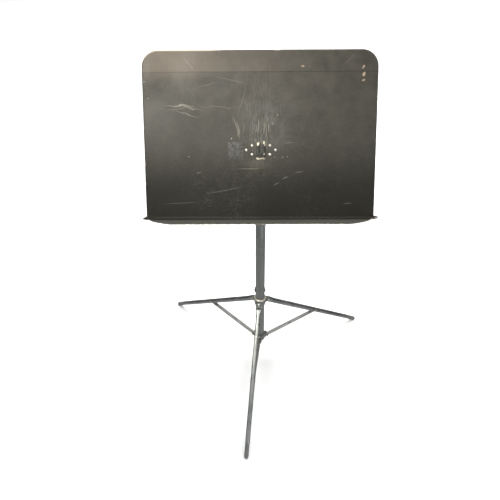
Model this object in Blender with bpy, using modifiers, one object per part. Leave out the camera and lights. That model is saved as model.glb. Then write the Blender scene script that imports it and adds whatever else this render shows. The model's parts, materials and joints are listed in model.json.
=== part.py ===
"""Music stand: a steel desk on a telescoping column over a folding tripod.

The design is in the stand's own frame: Z runs up the column's axis and the floor is Z = 0.  The
desk faces -Y.  The tripod is turned a little about the column, as it is when the desk has been
swivelled.  A root empty carries the whole stand, so that the world origin lies on the floor under
the middle of the stand's box.
"""

import math

import bmesh
import bpy
from mathutils import Matrix, Vector

# Driving dimensions, in metres and degrees.

# Place of the column's axis.  It centres the box of the whole stand on the origin.
AXIS_X = -0.01914
AXIS_Y = 0.06874

# Gap left between two pieces that touch.
GAP = 0.0003

# Column: a fixed outer tube and an inner tube that rises out of it.
OUTER_TUBE_RADIUS = 0.0127
INNER_TUBE_RADIUS = 0.0095
TUBE_WALL = 0.0012
OUTER_TUBE_BOTTOM = 0.079
OUTER_TUBE_TOP = 0.560
INNER_TUBE_BOTTOM = 0.106
INNER_TUBE_TOP = 0.707
GUIDE_LENGTH = 0.030

# Clutch at the top of the outer tube.
CLUTCH_RADIUS = 0.0160
CLUTCH_BOTTOM = 0.528
CLUTCH_TOP = 0.598
CLUTCH_LIP = 0.010
BUSH_LENGTH = 0.0255

# Tripod.  The legs hang on the hub, and the stays reach from the legs down to the bracket.
BASE_TURN = 6.4
LEG_AZIMUTHS = {"front": -90.0, "right": 30.0, "left": 150.0}
HUB_PIN_RADIUS = 0.024
HUB_PIN_HEIGHT = 0.2413
FOOT_REACH = 0.353
FOOT_HEIGHT = 0.002
STAY_JOINT_ALONG_LEG = 0.205
BRACKET_PIN_RADIUS = 0.020
BRACKET_PIN_HEIGHT = 0.0817

LEG_WIDTH = 0.0125
LEG_ABOVE_PINS = 0.0052
LEG_BELOW_PINS_AT_HUB = 0.0058
LEG_BELOW_PINS_AT_FOOT = 0.0038
LEG_GAUGE = 0.0011
LEG_WEB_START = 0.009
LEG_ROUND_END = 0.0058
FOOT_CAP_LENGTH = 0.038
FOOT_PLUG_LENGTH = 0.014
FOOT_PLUG_DEPTH = 0.0034
FOOT_SOLE_DEPTH = 0.0052
FOOT_NOSE_RADIUS = 0.0045

STAY_WIDTH = 0.0094
STAY_ABOVE_PINS = 0.0028
STAY_BELOW_PINS = 0.0034
STAY_GAUGE = 0.0010
STAY_SIDE_GAP = 0.0004

LEG_PIN_RADIUS = 0.0018
STAY_PIN_RADIUS = 0.0016
PIN_HEAD_RADIUS = 0.0030
STAY_PIN_HEAD_RADIUS = 0.0027
PIN_HEAD_HEIGHT = 0.0013

# Hub: a collar that slides on the outer tube, with a rolled ring on top and a lock knob behind.
HUB_RADIUS = 0.0160
HUB_BOTTOM = 0.231
HUB_TOP = 0.2524
HUB_RING_RADIUS = 0.0178
HUB_RING_HEIGHT = 0.0076
LUG_THICKNESS = 0.0096
LUG_HALF_HEIGHT = 0.0039
LUG_ROOT_HALF_HEIGHT = 0.0075
LUG_SHOULDER_HALF_HEIGHT = 0.0062
LOCK_BOSS_RADIUS = 0.0055
LOCK_BOSS_LENGTH = 0.0075
LOCK_HEIGHT = 0.2454
LOCK_SCREW_RADIUS = 0.0025
LOCK_KNOB_RADIUS = 0.0165
LOCK_KNOB_DEPTH = 0.009
LOCK_KNOB_FRONT = 0.0375

# Bracket at the foot of the column, with a pair of ears for each stay.
BRACKET_RADIUS = 0.0152
BRACKET_BOTTOM = 0.0775
BRACKET_TOP = 0.101
EAR_THICKNESS = 0.0020
EAR_OUTER = 0.0255
EAR_TOP = 0.0905

# Desk: one formed steel sheet.  Heights on it are measured up the sheet from the bend line.
DESK_WIDTH = 0.508
DESK_HEIGHT = 0.360
DESK_GAUGE = 0.0012
DESK_LEAN = 29.06
DESK_SHIFT = -0.0028
SIDE_TAPER = 0.0025
CORNER_RADIUS = 0.036
ROLL_RADIUS = 0.004
ROLL_LENGTH = 0.0123
ROLL_STARTS = 0.004
ROLL_IS_FULL = 0.012
ROLL_NOTCH_TOP = 0.030
ROLL_AT_NOTCH = 0.35
BEND_RADIUS = 0.006
SHELF_DEPTH = 0.057
SHELF_DROOP = 2.4
SHELF_FRONT_HALF = 0.195
EAR_REACH = 0.0105
EAR_DEPTH = 0.009
TIP_RISE = {-1: 0.002, 1: 0.006}
CREASE_HEIGHT = 0.316
CREASE_ANGLE = 1.3
PAD_CENTRE_X = 0.0024
PAD_HALF_WIDTH = 0.011
PAD_HALF_HEIGHT = 0.018
PAD_SLOPE = 0.003
PAD_RISE = 0.0025
RIVET_PLACES = ((-0.032, 0.0), (-0.0195, 0.0097), (-0.0195, -0.0097),
                (0.032, 0.0), (0.0195, 0.0097), (0.0195, -0.0097))
RIVET_RADIUS = 0.0017
RIVET_HEAD_RADIUS = 0.0030
RIVET_HEAD_HEIGHT = 0.0016

# Tilt joint behind the desk.  Its axis crosses the column's axis.
PIVOT_HEIGHT = 0.7363
PIVOT_TO_SHEET = 0.0206
PIVOT_UP_SHEET = 0.1523
BRACKET_PLATE = 0.0020
BRACKET_HALF_WIDTH = 0.039
BRACKET_HALF_HEIGHT = 0.017
BRACKET_HALF_FLAT = 0.023
BRACKET_HALF_END = 0.006
EAR_ROOT_HALF = 0.0135
TONGUE_HALF = 0.0060
WASHER_THICKNESS = 0.0012
CHEEK_RADIUS = 0.0085
HEAD_RADIUS = 0.0130
HEAD_BOTTOM = 0.688
HEAD_SHOULDER = 0.712
BOLT_RADIUS = 0.0030
TILT_KNOB_RADIUS = 0.0150
TILT_KNOB_DEPTH = 0.016

# Facets round a turned piece.
TUBE_STEPS = 32
PIN_STEPS = 14
KNOB_STEPS = 36

UP = Vector((0.0, 0.0, 1.0))


# Scene and placing.

def clear_scene():
    """Removes whatever the file holds."""
    for item in list(bpy.data.objects):
        bpy.data.objects.remove(item, do_unlink=True)


def new_collection(name):
    """A collection linked to the scene."""
    collection = bpy.data.collections.new(name)
    bpy.context.scene.collection.children.link(collection)
    return collection


def new_material(name, colour, roughness, metallic):
    """A plain Principled material."""
    material = bpy.data.materials.new(name)
    material.use_nodes = True
    shader = material.node_tree.nodes["Principled BSDF"]
    shader.inputs["Base Color"].default_value = (*colour, 1.0)
    shader.inputs["Roughness"].default_value = roughness
    shader.inputs["Metallic"].default_value = metallic
    material.diffuse_color = (*colour, 1.0)
    return material


def frame(origin, x_axis, y_axis):
    """A placing matrix whose X and Y axes point the given ways."""
    z_axis = x_axis.cross(y_axis)
    rotation = Matrix((x_axis, y_axis, z_axis)).transposed()
    return Matrix.Translation(origin) @ rotation.to_4x4()


def place(item, where, parent):
    """Puts an object at a stand-frame matrix, under its parent."""
    item["stand_frame"] = [value for row in where for value in row]
    item.parent = parent
    item.matrix_basis = stand_frame(parent).inverted() @ where


def stand_frame(item):
    """The stand-frame matrix that an object was placed with."""
    values = list(item["stand_frame"])
    return Matrix([values[row * 4:row * 4 + 4] for row in range(4)])


def empty(name, where, parent=None):
    """An empty that carries a group of pieces."""
    item = bpy.data.objects.new(name, None)
    item.empty_display_size = 0.02
    parts.objects.link(item)
    if parent:
        place(item, where, parent)
    else:
        item["stand_frame"] = [value for row in Matrix.Identity(4) for value in row]
        item.matrix_basis = where
    return item


# Shapes.

def arc(centre, radius, start, end, count):
    """Points along an arc, with both ends."""
    points = []
    for index in range(count + 1):
        angle = math.radians(start + (end - start) * index / count)
        points.append((centre[0] + radius * math.cos(angle), centre[1] + radius * math.sin(angle)))
    return points


def mesh_object(name, mesh, material=None):
    """An object in the parts collection, or a guide if it has no material."""
    item = bpy.data.objects.new(name, mesh)
    if material:
        mesh.materials.append(material)
        parts.objects.link(item)
    else:
        cutters.objects.link(item)
        item.hide_render = True
        item.display_type = "WIRE"
    return item


def evaluated_mesh(item):
    """The object's shape with its modifiers, welded and facing outwards."""
    bpy.context.view_layer.update()
    depsgraph = bpy.context.evaluated_depsgraph_get()
    mesh = bpy.data.meshes.new_from_object(item.evaluated_get(depsgraph))
    bm = bmesh.new()
    bm.from_mesh(mesh)
    bmesh.ops.remove_doubles(bm, verts=bm.verts, dist=1e-6)
    bmesh.ops.recalc_face_normals(bm, faces=bm.faces)
    bm.to_mesh(mesh)
    bm.free()
    mesh.name = item.name
    return mesh


def bake(item, material):
    """Replaces a helper object by its evaluated shape."""
    name = item.name
    mesh = evaluated_mesh(item)
    bpy.data.objects.remove(item, do_unlink=True)
    mesh.materials.clear()
    return mesh_object(name, mesh, material)


def turned(name, profile, material=None, steps=TUBE_STEPS):
    """A solid turned about Z.  A profile that is off the axis at both ends is a ring's section."""
    mesh = bpy.data.meshes.new(name)
    edges = [(index, index + 1) for index in range(len(profile) - 1)]
    if profile[0][0] > 0.0:
        edges.append((len(profile) - 1, 0))
    mesh.from_pydata([(radius, 0.0, height) for radius, height in profile], edges, [])
    item = bpy.data.objects.new(name, mesh)
    bpy.context.scene.collection.objects.link(item)
    screw = item.modifiers.new("turn", "SCREW")
    screw.angle = 2.0 * math.pi
    screw.steps = steps
    screw.render_steps = steps
    screw.use_merge_vertices = True
    screw.merge_threshold = 0.00001
    return bake(item, material)


def plate(name, outline, thickness, material=None):
    """A flat plate: an outline in XY, with its thickness centred on Z = 0."""
    curve = bpy.data.curves.new(name, "CURVE")
    curve.dimensions = "2D"
    curve.fill_mode = "BOTH"
    curve.extrude = thickness / 2.0
    spline = curve.splines.new("POLY")
    spline.points.add(len(outline) - 1)
    spline.use_cyclic_u = True
    for point, (x, y) in zip(spline.points, outline):
        point.co = (x, y, 0.0, 1.0)
    item = bpy.data.objects.new(name, curve)
    bpy.context.scene.collection.objects.link(item)
    return bake(item, material)


def rod(name, radius, length, steps=PIN_STEPS, material=None):
    """A plain cylinder along Z, centred on the origin."""
    mesh = bpy.data.meshes.new(name)
    bm = bmesh.new()
    bmesh.ops.create_cone(bm, cap_ends=True, segments=steps, radius1=radius, radius2=radius,
                          depth=length)
    bm.to_mesh(mesh)
    bm.free()
    return mesh_object(name, mesh, material)


def boolean(item, other, operation):
    """Cuts the other shape from the item, or joins it on."""
    modifier = item.modifiers.new(other.name, "BOOLEAN")
    modifier.operation = operation
    modifier.solver = "EXACT"
    modifier.object = other


def ring_profile(inner, outer, bottom, top):
    """The section of a plain ring, in the order that turns it right side out."""
    return [(inner, top), (outer, top), (outer, bottom), (inner, bottom)]


def rivet(name, radius, grip, head_radius, head_height, material):
    """A pin along Z with a domed head at each end.  The grip lies between the heads."""
    half = grip / 2.0
    dome = [(head_radius * math.sin(math.radians(angle)), head_height * math.cos(math.radians(angle)))
            for angle in (0.0, 35.0, 65.0, 90.0)]
    profile = [(x, half + z) for x, z in dome]
    profile += [(radius, half), (radius, -half)]
    profile += [(x, -half - z) for x, z in reversed(dome)]
    return turned(name, profile, material, PIN_STEPS)


# Column.

def build_column(root):
    """The outer tube, its end plug and the bracket rivet's hole."""
    tube = turned("outer_tube", ring_profile(OUTER_TUBE_RADIUS - TUBE_WALL, OUTER_TUBE_RADIUS,
                                             OUTER_TUBE_BOTTOM, OUTER_TUBE_TOP), steel)
    place(tube, Matrix.Identity(4), root)
    hole = rod("outer_tube_rivet_hole", RIVET_RADIUS + GAP, 0.012)
    place(hole, bracket_rivet_frame(OUTER_TUBE_RADIUS), root)
    boolean(tube, hole, "DIFFERENCE")

    bore = OUTER_TUBE_RADIUS - TUBE_WALL - GAP
    bottom = OUTER_TUBE_BOTTOM - 0.0018
    profile = [(0.0, OUTER_TUBE_BOTTOM + 0.010), (bore - 0.001, OUTER_TUBE_BOTTOM + 0.010),
               (bore, OUTER_TUBE_BOTTOM + 0.009), (bore, OUTER_TUBE_BOTTOM - GAP),
               (OUTER_TUBE_RADIUS, OUTER_TUBE_BOTTOM - GAP), (OUTER_TUBE_RADIUS, bottom + 0.0006),
               (OUTER_TUBE_RADIUS - 0.0008, bottom), (0.0, bottom)]
    place(turned("tube_end_plug", profile, black_plastic), Matrix.Identity(4), root)


def build_clutch(root):
    """The clutch housing and its wiper cap.  The friction bush inside is made with the swivel."""
    chamber = OUTER_TUBE_RADIUS - 0.0001
    step = OUTER_TUBE_TOP + 0.001
    lip = CLUTCH_TOP - CLUTCH_LIP
    mouth = INNER_TUBE_RADIUS + 0.0007
    outer = CLUTCH_RADIUS
    profile = [(mouth, CLUTCH_TOP), (outer - 0.0015, CLUTCH_TOP), (outer, CLUTCH_TOP - 0.0015),
               (outer, CLUTCH_BOTTOM + 0.004), (outer - 0.0012, CLUTCH_BOTTOM),
               (OUTER_TUBE_RADIUS + GAP, CLUTCH_BOTTOM), (OUTER_TUBE_RADIUS + GAP, step),
               (chamber, step), (chamber, lip), (mouth, lip)]
    place(turned("clutch_housing", profile, steel), Matrix.Identity(4), root)
    bottom = CLUTCH_TOP + GAP
    cap = [(mouth, bottom + 0.005), (outer - 0.004, bottom + 0.005), (outer - 0.002, bottom + 0.0035),
           (outer - 0.002, bottom), (mouth, bottom)]
    place(turned("clutch_cap", cap, black_plastic), Matrix.Identity(4), root)


def build_inner_tube(swivel):
    """The friction bush, and the inner tube with the guide at its foot."""
    bush_bottom = OUTER_TUBE_TOP + 0.0016
    bush = ring_profile(INNER_TUBE_RADIUS + GAP, OUTER_TUBE_RADIUS - 0.0001 - GAP,
                        bush_bottom, bush_bottom + BUSH_LENGTH)
    place(turned("friction_bush", bush, white_plastic), Matrix.Identity(4), swivel)

    tube = turned("inner_tube", ring_profile(INNER_TUBE_RADIUS - TUBE_WALL, INNER_TUBE_RADIUS,
                                             INNER_TUBE_BOTTOM, INNER_TUBE_TOP), steel)
    place(tube, Matrix.Identity(4), swivel)
    guide = ring_profile(INNER_TUBE_RADIUS + GAP, OUTER_TUBE_RADIUS - TUBE_WALL - GAP,
                         INNER_TUBE_BOTTOM, INNER_TUBE_BOTTOM + GUIDE_LENGTH)
    place(turned("inner_tube_guide", guide, black_plastic), Matrix.Identity(4), swivel)
    return tube


# Bracket at the foot of the column.

def radial_frame(azimuth, height, radius=0.0):
    """X points out from the column, Y points up."""
    turn = math.radians(azimuth - BASE_TURN)
    outward = Vector((math.cos(turn), math.sin(turn), 0.0))
    return frame(outward * radius + UP * height, outward, UP)


def bracket_rivet_frame(radius):
    """The bracket's rivet, whose Z points out of the column's front."""
    turn = math.radians(LEG_AZIMUTHS["front"] - BASE_TURN)
    outward = Vector((math.cos(turn), math.sin(turn), 0.0))
    side = UP.cross(outward)
    return frame(outward * radius + UP * (EAR_TOP + 0.0052), side, UP.copy())


def ear_outline():
    """One ear, with a keyhole open below that lets the stay's pin out when the tripod folds."""
    pin = (BRACKET_PIN_RADIUS, BRACKET_PIN_HEIGHT)
    root = BRACKET_RADIUS - 0.0024
    corner = 0.005
    outline = [(root, BRACKET_BOTTOM), (root, EAR_TOP)]
    outline += reversed(arc((EAR_OUTER - corner, EAR_TOP - corner), corner, 0.0, 90.0, 5))
    outline += [(EAR_OUTER, BRACKET_BOTTOM), (pin[0] + 0.0019, BRACKET_BOTTOM)]
    outline += arc(pin, STAY_PIN_RADIUS + 2.0 * GAP, -5.0, 185.0, 8)
    outline += [(pin[0] - 0.0040, BRACKET_BOTTOM)]
    return outline


def build_bottom_bracket(root):
    """The sleeve with its three pairs of ears, and the rivet that holds it to the tube."""
    sleeve = turned("bottom_bracket", ring_profile(OUTER_TUBE_RADIUS + GAP, BRACKET_RADIUS,
                                                   BRACKET_BOTTOM, BRACKET_TOP), steel)
    place(sleeve, Matrix.Identity(4), root)
    offset = STAY_WIDTH / 2.0 + STAY_SIDE_GAP + EAR_THICKNESS / 2.0
    for azimuth_name, azimuth in LEG_AZIMUTHS.items():
        for side in (-1, 1):
            ear = plate(f"ear_{azimuth_name}_{side}", ear_outline(), EAR_THICKNESS)
            place(ear, radial_frame(azimuth, 0.0) @ Matrix.Translation((0.0, 0.0, side * offset)), root)
            boolean(sleeve, ear, "UNION")
    hole = rod("bracket_rivet_hole", RIVET_RADIUS + GAP, 0.012)
    place(hole, bracket_rivet_frame(OUTER_TUBE_RADIUS), root)
    boolean(sleeve, hole, "DIFFERENCE")

    inside = OUTER_TUBE_RADIUS - TUBE_WALL - 0.0012
    grip = BRACKET_RADIUS + GAP - inside
    pin = rivet("bracket_rivet", RIVET_RADIUS, grip, RIVET_HEAD_RADIUS, 0.0014, plated)
    place(pin, bracket_rivet_frame(inside + grip / 2.0), root)


# Hub.

def lug_outline():
    """A lug that stands out of the collar and fits between a leg's walls."""
    end = HUB_PIN_RADIUS
    lower = [(HUB_RADIUS - 0.0016, -LUG_ROOT_HALF_HEIGHT), (HUB_RADIUS + 0.0020, -LUG_SHOULDER_HALF_HEIGHT),
             (end - 0.0035, -LUG_HALF_HEIGHT)]
    upper = [(x, -y) for x, y in reversed(lower)]
    return lower + arc((end, 0.0), LUG_HALF_HEIGHT, -90.0, 90.0, 8) + upper


def lock_frame(distance):
    """A point behind the column at the height of the lock screw.  Z points backwards."""
    return frame(Vector((0.0, distance, LOCK_HEIGHT)), UP.copy(), Vector((1.0, 0.0, 0.0)))


def build_hub(root):
    """The sliding collar with three lugs and the lock screw's boss, and the ring on top of it."""
    bore = OUTER_TUBE_RADIUS + GAP
    profile = [(bore, HUB_TOP), (HUB_RADIUS, HUB_TOP), (HUB_RADIUS, HUB_BOTTOM + 0.005),
               (HUB_RADIUS - 0.0018, HUB_BOTTOM), (bore, HUB_BOTTOM)]
    collar = turned("hub_collar", profile, steel)
    hub = empty("hub_slide_axis", Matrix.Translation((0.0, 0.0, HUB_PIN_HEIGHT)), root)
    place(collar, Matrix.Identity(4), hub)
    for name, azimuth in LEG_AZIMUTHS.items():
        lug = plate(f"lug_{name}", lug_outline(), LUG_THICKNESS)
        place(lug, radial_frame(azimuth, HUB_PIN_HEIGHT), hub)
        boolean(collar, lug, "UNION")
        hole = rod(f"lug_hole_{name}", LEG_PIN_RADIUS + GAP, 2.0 * LUG_THICKNESS)
        place(hole, radial_frame(azimuth, HUB_PIN_HEIGHT, HUB_PIN_RADIUS), hub)
        boolean(collar, hole, "DIFFERENCE")
    boss = rod("lock_boss", LOCK_BOSS_RADIUS, LOCK_BOSS_LENGTH, 20)
    place(boss, lock_frame(HUB_RADIUS - 0.0012 + LOCK_BOSS_LENGTH / 2.0), hub)
    boolean(collar, boss, "UNION")
    tapping = rod("lock_tapping", LOCK_SCREW_RADIUS + GAP, 0.016)
    place(tapping, lock_frame(0.0195), hub)
    boolean(collar, tapping, "DIFFERENCE")

    bottom = HUB_TOP + GAP
    roll = HUB_RING_HEIGHT / 2.0
    section = [(bore, bottom + HUB_RING_HEIGHT - 0.0012)]
    centre = (HUB_RING_RADIUS - roll, bottom + roll)
    section += reversed(arc(centre, roll, -90.0, 90.0, 6))
    section += [(bore, bottom)]
    place(turned("hub_ring", section, plated), Matrix.Identity(4), hub)
    return hub


def fluted_knob(name, radius, depth, bore, flutes, material):
    """A round grip knob along Z from its front at Z = 0, with flutes round its edge."""
    edge = 0.0015
    profile = [(bore, depth), (radius * 0.55, depth), (radius - edge, depth - 0.001),
               (radius, depth - edge * 1.6), (radius, edge * 1.2), (radius - edge, 0.0), (bore, 0.0)]
    knob = turned(name, profile, material, KNOB_STEPS)
    grooves = []
    for index in range(flutes):
        angle = 2.0 * math.pi * (index + 0.5) / flutes
        groove = rod(f"{name}_flute_{index}", radius * 0.20, depth * 2.0)
        spot = (radius * 1.10 * math.cos(angle), radius * 1.10 * math.sin(angle), depth / 2.0)
        grooves.append((groove, Matrix.Translation(spot)))
        boolean(knob, groove, "DIFFERENCE")
    return knob, grooves


def place_knob(knob, grooves, where, parent):
    """Puts a knob and its flute cutters."""
    place(knob, where, parent)
    for groove, spot in grooves:
        place(groove, where @ spot, parent)


def build_lock(hub):
    """The lock screw behind the hub and the knob on its end."""
    axis = empty("lock_screw_axis", lock_frame(LOCK_KNOB_FRONT), hub)
    tip = OUTER_TUBE_RADIUS + GAP
    shank_end = LOCK_KNOB_FRONT + 0.0065
    profile = [(0.0, shank_end), (LOCK_SCREW_RADIUS, shank_end), (LOCK_SCREW_RADIUS, tip + 0.0008),
               (LOCK_SCREW_RADIUS - 0.0008, tip), (0.0, tip)]
    place(turned("lock_screw", profile, plated, PIN_STEPS), lock_frame(0.0), axis)
    knob, grooves = fluted_knob("lock_knob", LOCK_KNOB_RADIUS, LOCK_KNOB_DEPTH, LOCK_SCREW_RADIUS + GAP, 7,
                                black_plastic)
    place_knob(knob, grooves, lock_frame(LOCK_KNOB_FRONT), axis)


# Legs and stays.

def leg_points():
    """The leg's hub pin, stay pin and foot, and the stay's lower pin, as (radius, height)."""
    hub_pin = Vector((HUB_PIN_RADIUS, HUB_PIN_HEIGHT))
    foot = Vector((FOOT_REACH, FOOT_HEIGHT))
    along = (foot - hub_pin).normalized()
    stay_pin = hub_pin + along * STAY_JOINT_ALONG_LEG
    bracket_pin = Vector((BRACKET_PIN_RADIUS, BRACKET_PIN_HEIGHT))
    return hub_pin, stay_pin, foot, bracket_pin


def linkage_frame(azimuth, start, end):
    """X runs from the start point to the end point, Y is the side that faces up."""
    turn = math.radians(azimuth - BASE_TURN)
    outward = Vector((math.cos(turn), math.sin(turn), 0.0))
    along = (end - start).normalized()
    x_axis = outward * along.x + UP * along.y
    y_axis = outward * -along.y + UP * along.x
    if y_axis.z < 0.0:
        y_axis = -y_axis
    return frame(outward * start.x + UP * start.y, x_axis, y_axis)


def leg_outline(length):
    """The side view of a leg: a long taper with a round end at the hub pin."""
    end = length - FOOT_CAP_LENGTH
    outline = [(end, LEG_ABOVE_PINS), (0.003, LEG_ABOVE_PINS)]
    outline += arc((0.0, 0.0), LEG_ROUND_END, 105.0, 255.0, 8)
    outline += [(0.004, -LEG_BELOW_PINS_AT_HUB), (end, -LEG_BELOW_PINS_AT_FOOT)]
    return outline


def leg_hollow(length):
    """The inside of the leg's channel, and the notch at the hub where the channel has no top."""
    reach = 0.02
    top = LEG_ABOVE_PINS - LEG_GAUGE
    return [(-reach, -reach), (length + reach, -reach), (length + reach, top), (LEG_WEB_START, top),
            (LEG_WEB_START, reach), (-reach, reach)]


def foot_outline(length, slope):
    """The side view of a foot cap: a plug in the channel, a body with a round nose, and a flat sole."""
    start = length - FOOT_CAP_LENGTH + GAP
    plug = start - FOOT_PLUG_LENGTH
    plug_top = LEG_ABOVE_PINS - LEG_GAUGE - GAP
    nose = FOOT_NOSE_RADIUS

    def sole_at(depth):
        """How far along the leg the floor crosses a line at this depth below the pins."""
        return length + (FOOT_HEIGHT - depth * math.cos(slope)) / math.sin(slope)

    sole_end_depth = (FOOT_HEIGHT + 0.0006 * math.sin(slope)) / math.cos(slope)
    outline = [(plug, plug_top), (plug, -FOOT_PLUG_DEPTH), (start, -FOOT_PLUG_DEPTH), (start, -0.0044)]
    outline += [(start + 0.002, -FOOT_SOLE_DEPTH), (sole_at(FOOT_SOLE_DEPTH), -FOOT_SOLE_DEPTH)]
    outline += [(sole_at(sole_end_depth), -sole_end_depth)]
    outline += arc((length - nose, LEG_ABOVE_PINS - nose), nose, -20.0, 90.0, 7)
    outline += [(start, LEG_ABOVE_PINS), (start, plug_top)]
    return outline


def stay_outline(length):
    """The side view of a stay, with a round end at each pin."""
    end = STAY_BELOW_PINS
    outline = [(length, STAY_ABOVE_PINS), (0.0, STAY_ABOVE_PINS)]
    outline += arc((0.0, 0.0), end, 125.0, 270.0, 8)
    outline += arc((length, 0.0), end, -90.0, 55.0, 8)
    return outline


def build_leg(name, azimuth, hub):
    """A leg with its hinge pin, foot cap and stay, which hangs from a pin in the leg."""
    hub_pin, stay_pin, foot, bracket_pin = leg_points()
    length = (foot - hub_pin).length
    slope = math.atan2(hub_pin.y - foot.y, foot.x - hub_pin.x)
    where = linkage_frame(azimuth, hub_pin, foot)

    leg = plate(f"leg_{name}", leg_outline(length), LEG_WIDTH, plated)
    place(leg, where, hub)
    hollow = plate(f"leg_hollow_{name}", leg_hollow(length), LEG_WIDTH - 2.0 * LEG_GAUGE)
    place(hollow, where, leg)
    boolean(leg, hollow, "DIFFERENCE")
    at_stay_pin = where @ Matrix.Translation((STAY_JOINT_ALONG_LEG, 0.0, 0.0))
    for label, spot, radius in (("hub", where, LEG_PIN_RADIUS), ("stay", at_stay_pin, STAY_PIN_RADIUS)):
        hole = rod(f"leg_{label}_hole_{name}", radius + GAP, 2.0 * LEG_WIDTH)
        place(hole, spot, leg)
        boolean(leg, hole, "DIFFERENCE")

    grip = LEG_WIDTH + 2.0 * GAP
    pin = rivet(f"leg_pin_{name}", LEG_PIN_RADIUS, grip, PIN_HEAD_RADIUS, PIN_HEAD_HEIGHT, plated)
    place(pin, where, hub)
    stay_rivet = rivet(f"stay_top_pin_{name}", STAY_PIN_RADIUS, grip, STAY_PIN_HEAD_RADIUS,
                       PIN_HEAD_HEIGHT, plated)
    place(stay_rivet, at_stay_pin, leg)

    build_foot_cap(name, length, slope, where, leg)
    build_stay(name, azimuth, leg, stay_pin, bracket_pin)


def build_foot_cap(name, length, slope, where, leg):
    """A cap whose plug fills the channel's end and whose body is as wide as the leg."""
    outline = foot_outline(length, slope)
    inside = LEG_WIDTH - 2.0 * LEG_GAUGE - 2.0 * GAP
    body = plate(f"foot_cap_{name}", outline, inside, grey_rubber)
    place(body, where, leg)
    body_start = length - FOOT_CAP_LENGTH + GAP
    beyond_leg = [point for point in outline if point[0] >= body_start - 1e-6]
    cheeks = plate(f"foot_cheeks_{name}", beyond_leg, LEG_WIDTH)
    place(cheeks, where, leg)
    boolean(body, cheeks, "UNION")


def build_stay(name, azimuth, leg, stay_pin, bracket_pin):
    """A stay, whose lower pin it carries out of the bracket's ears as the tripod folds."""
    length = (bracket_pin - stay_pin).length
    where = linkage_frame(azimuth, stay_pin, bracket_pin)
    stay = plate(f"stay_{name}", stay_outline(length), STAY_WIDTH, plated)
    place(stay, where, leg)
    reach = 0.02
    top = STAY_ABOVE_PINS - STAY_GAUGE
    outline = [(-reach, -reach), (length + reach, -reach), (length + reach, top), (-reach, top)]
    hollow = plate(f"stay_hollow_{name}", outline, STAY_WIDTH - 2.0 * STAY_GAUGE)
    place(hollow, where, stay)
    boolean(stay, hollow, "DIFFERENCE")
    at_foot = where @ Matrix.Translation((length, 0.0, 0.0))
    for label, spot in (("top", where), ("foot", at_foot)):
        hole = rod(f"stay_{label}_hole_{name}", STAY_PIN_RADIUS + GAP, 2.0 * STAY_WIDTH)
        place(hole, spot, stay)
        boolean(stay, hole, "DIFFERENCE")
    grip = STAY_WIDTH + 2.0 * (STAY_SIDE_GAP + EAR_THICKNESS + GAP)
    pin = rivet(f"stay_foot_pin_{name}", STAY_PIN_RADIUS, grip, STAY_PIN_HEAD_RADIUS - 0.0003,
                PIN_HEAD_HEIGHT, plated)
    place(pin, at_foot, stay)


# Desk.  Its frame has the pivot as origin, X to the right, Y out of its back and Z up the sheet.

def desk_frame():
    """The tilt axis, leaning back with the desk."""
    return Matrix.Translation((0.0, 0.0, PIVOT_HEIGHT)) @ Matrix.Rotation(-math.radians(DESK_LEAN), 4, "X")


def flat_half_at(height):
    """Half the flat width between the side rolls: the sides draw in a little towards the top."""
    return DESK_WIDTH / 2.0 - ROLL_RADIUS + SIDE_TAPER * (1.0 - 2.0 * height / DESK_HEIGHT)


def strip_share(height):
    """Share of the edge strip's full length: cut back above the bend, where the roll begins."""
    bend_top = BEND_RADIUS
    cut = min(max(height / bend_top, 0.0), 1.0)
    regained = min(max((height - bend_top) / (ROLL_NOTCH_TOP - bend_top), 0.0), 1.0)
    return 1.0 - (1.0 - ROLL_AT_NOTCH) * cut * (1.0 - regained)


def side_roll_angle(height):
    """How far the side edge is rolled back: fully on the side, opening out to nothing at the shelf."""
    share = (height - ROLL_STARTS) / (ROLL_IS_FULL - ROLL_STARTS)
    return math.radians(90.0) * min(max(share, 0.0), 1.0) ** 0.8


def rolled(distance, angle):
    """A point on the edge strip: how far outwards and how far back it lies."""
    straight = distance - ROLL_RADIUS * angle
    if straight <= 0.0:
        turn = distance / ROLL_RADIUS
        return ROLL_RADIUS * math.sin(turn), ROLL_RADIUS * (1.0 - math.cos(turn))
    outwards = ROLL_RADIUS * math.sin(angle) + straight * math.cos(angle)
    back = ROLL_RADIUS * (1.0 - math.cos(angle)) + straight * math.sin(angle)
    return outwards, back


def shelf_half_width(depth):
    """Half the shelf's width at a depth in front of the bend: a thin ear, then a long round corner."""
    full = flat_half_at(0.0) + ROLL_LENGTH
    side = full - EAR_REACH
    fraction = min(max(depth / SHELF_DEPTH, 0.0), 1.0)
    ear = EAR_REACH * max(1.0 - depth / EAR_DEPTH, 0.0) ** 1.5
    return SHELF_FRONT_HALF + (side - SHELF_FRONT_HALF) * (1.0 - fraction ** 1.3) ** 0.8 + ear


def sheet_row(forward, up, flat, strip=1.0, angle=0.0, corner=0.0, depth=0.0):
    """One row across the sheet: its place, its flat half width, and how its edge strips run."""
    return {"forward": forward, "up": up, "flat": flat, "strip": strip, "angle": angle, "corner": corner,
            "depth": depth}


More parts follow.
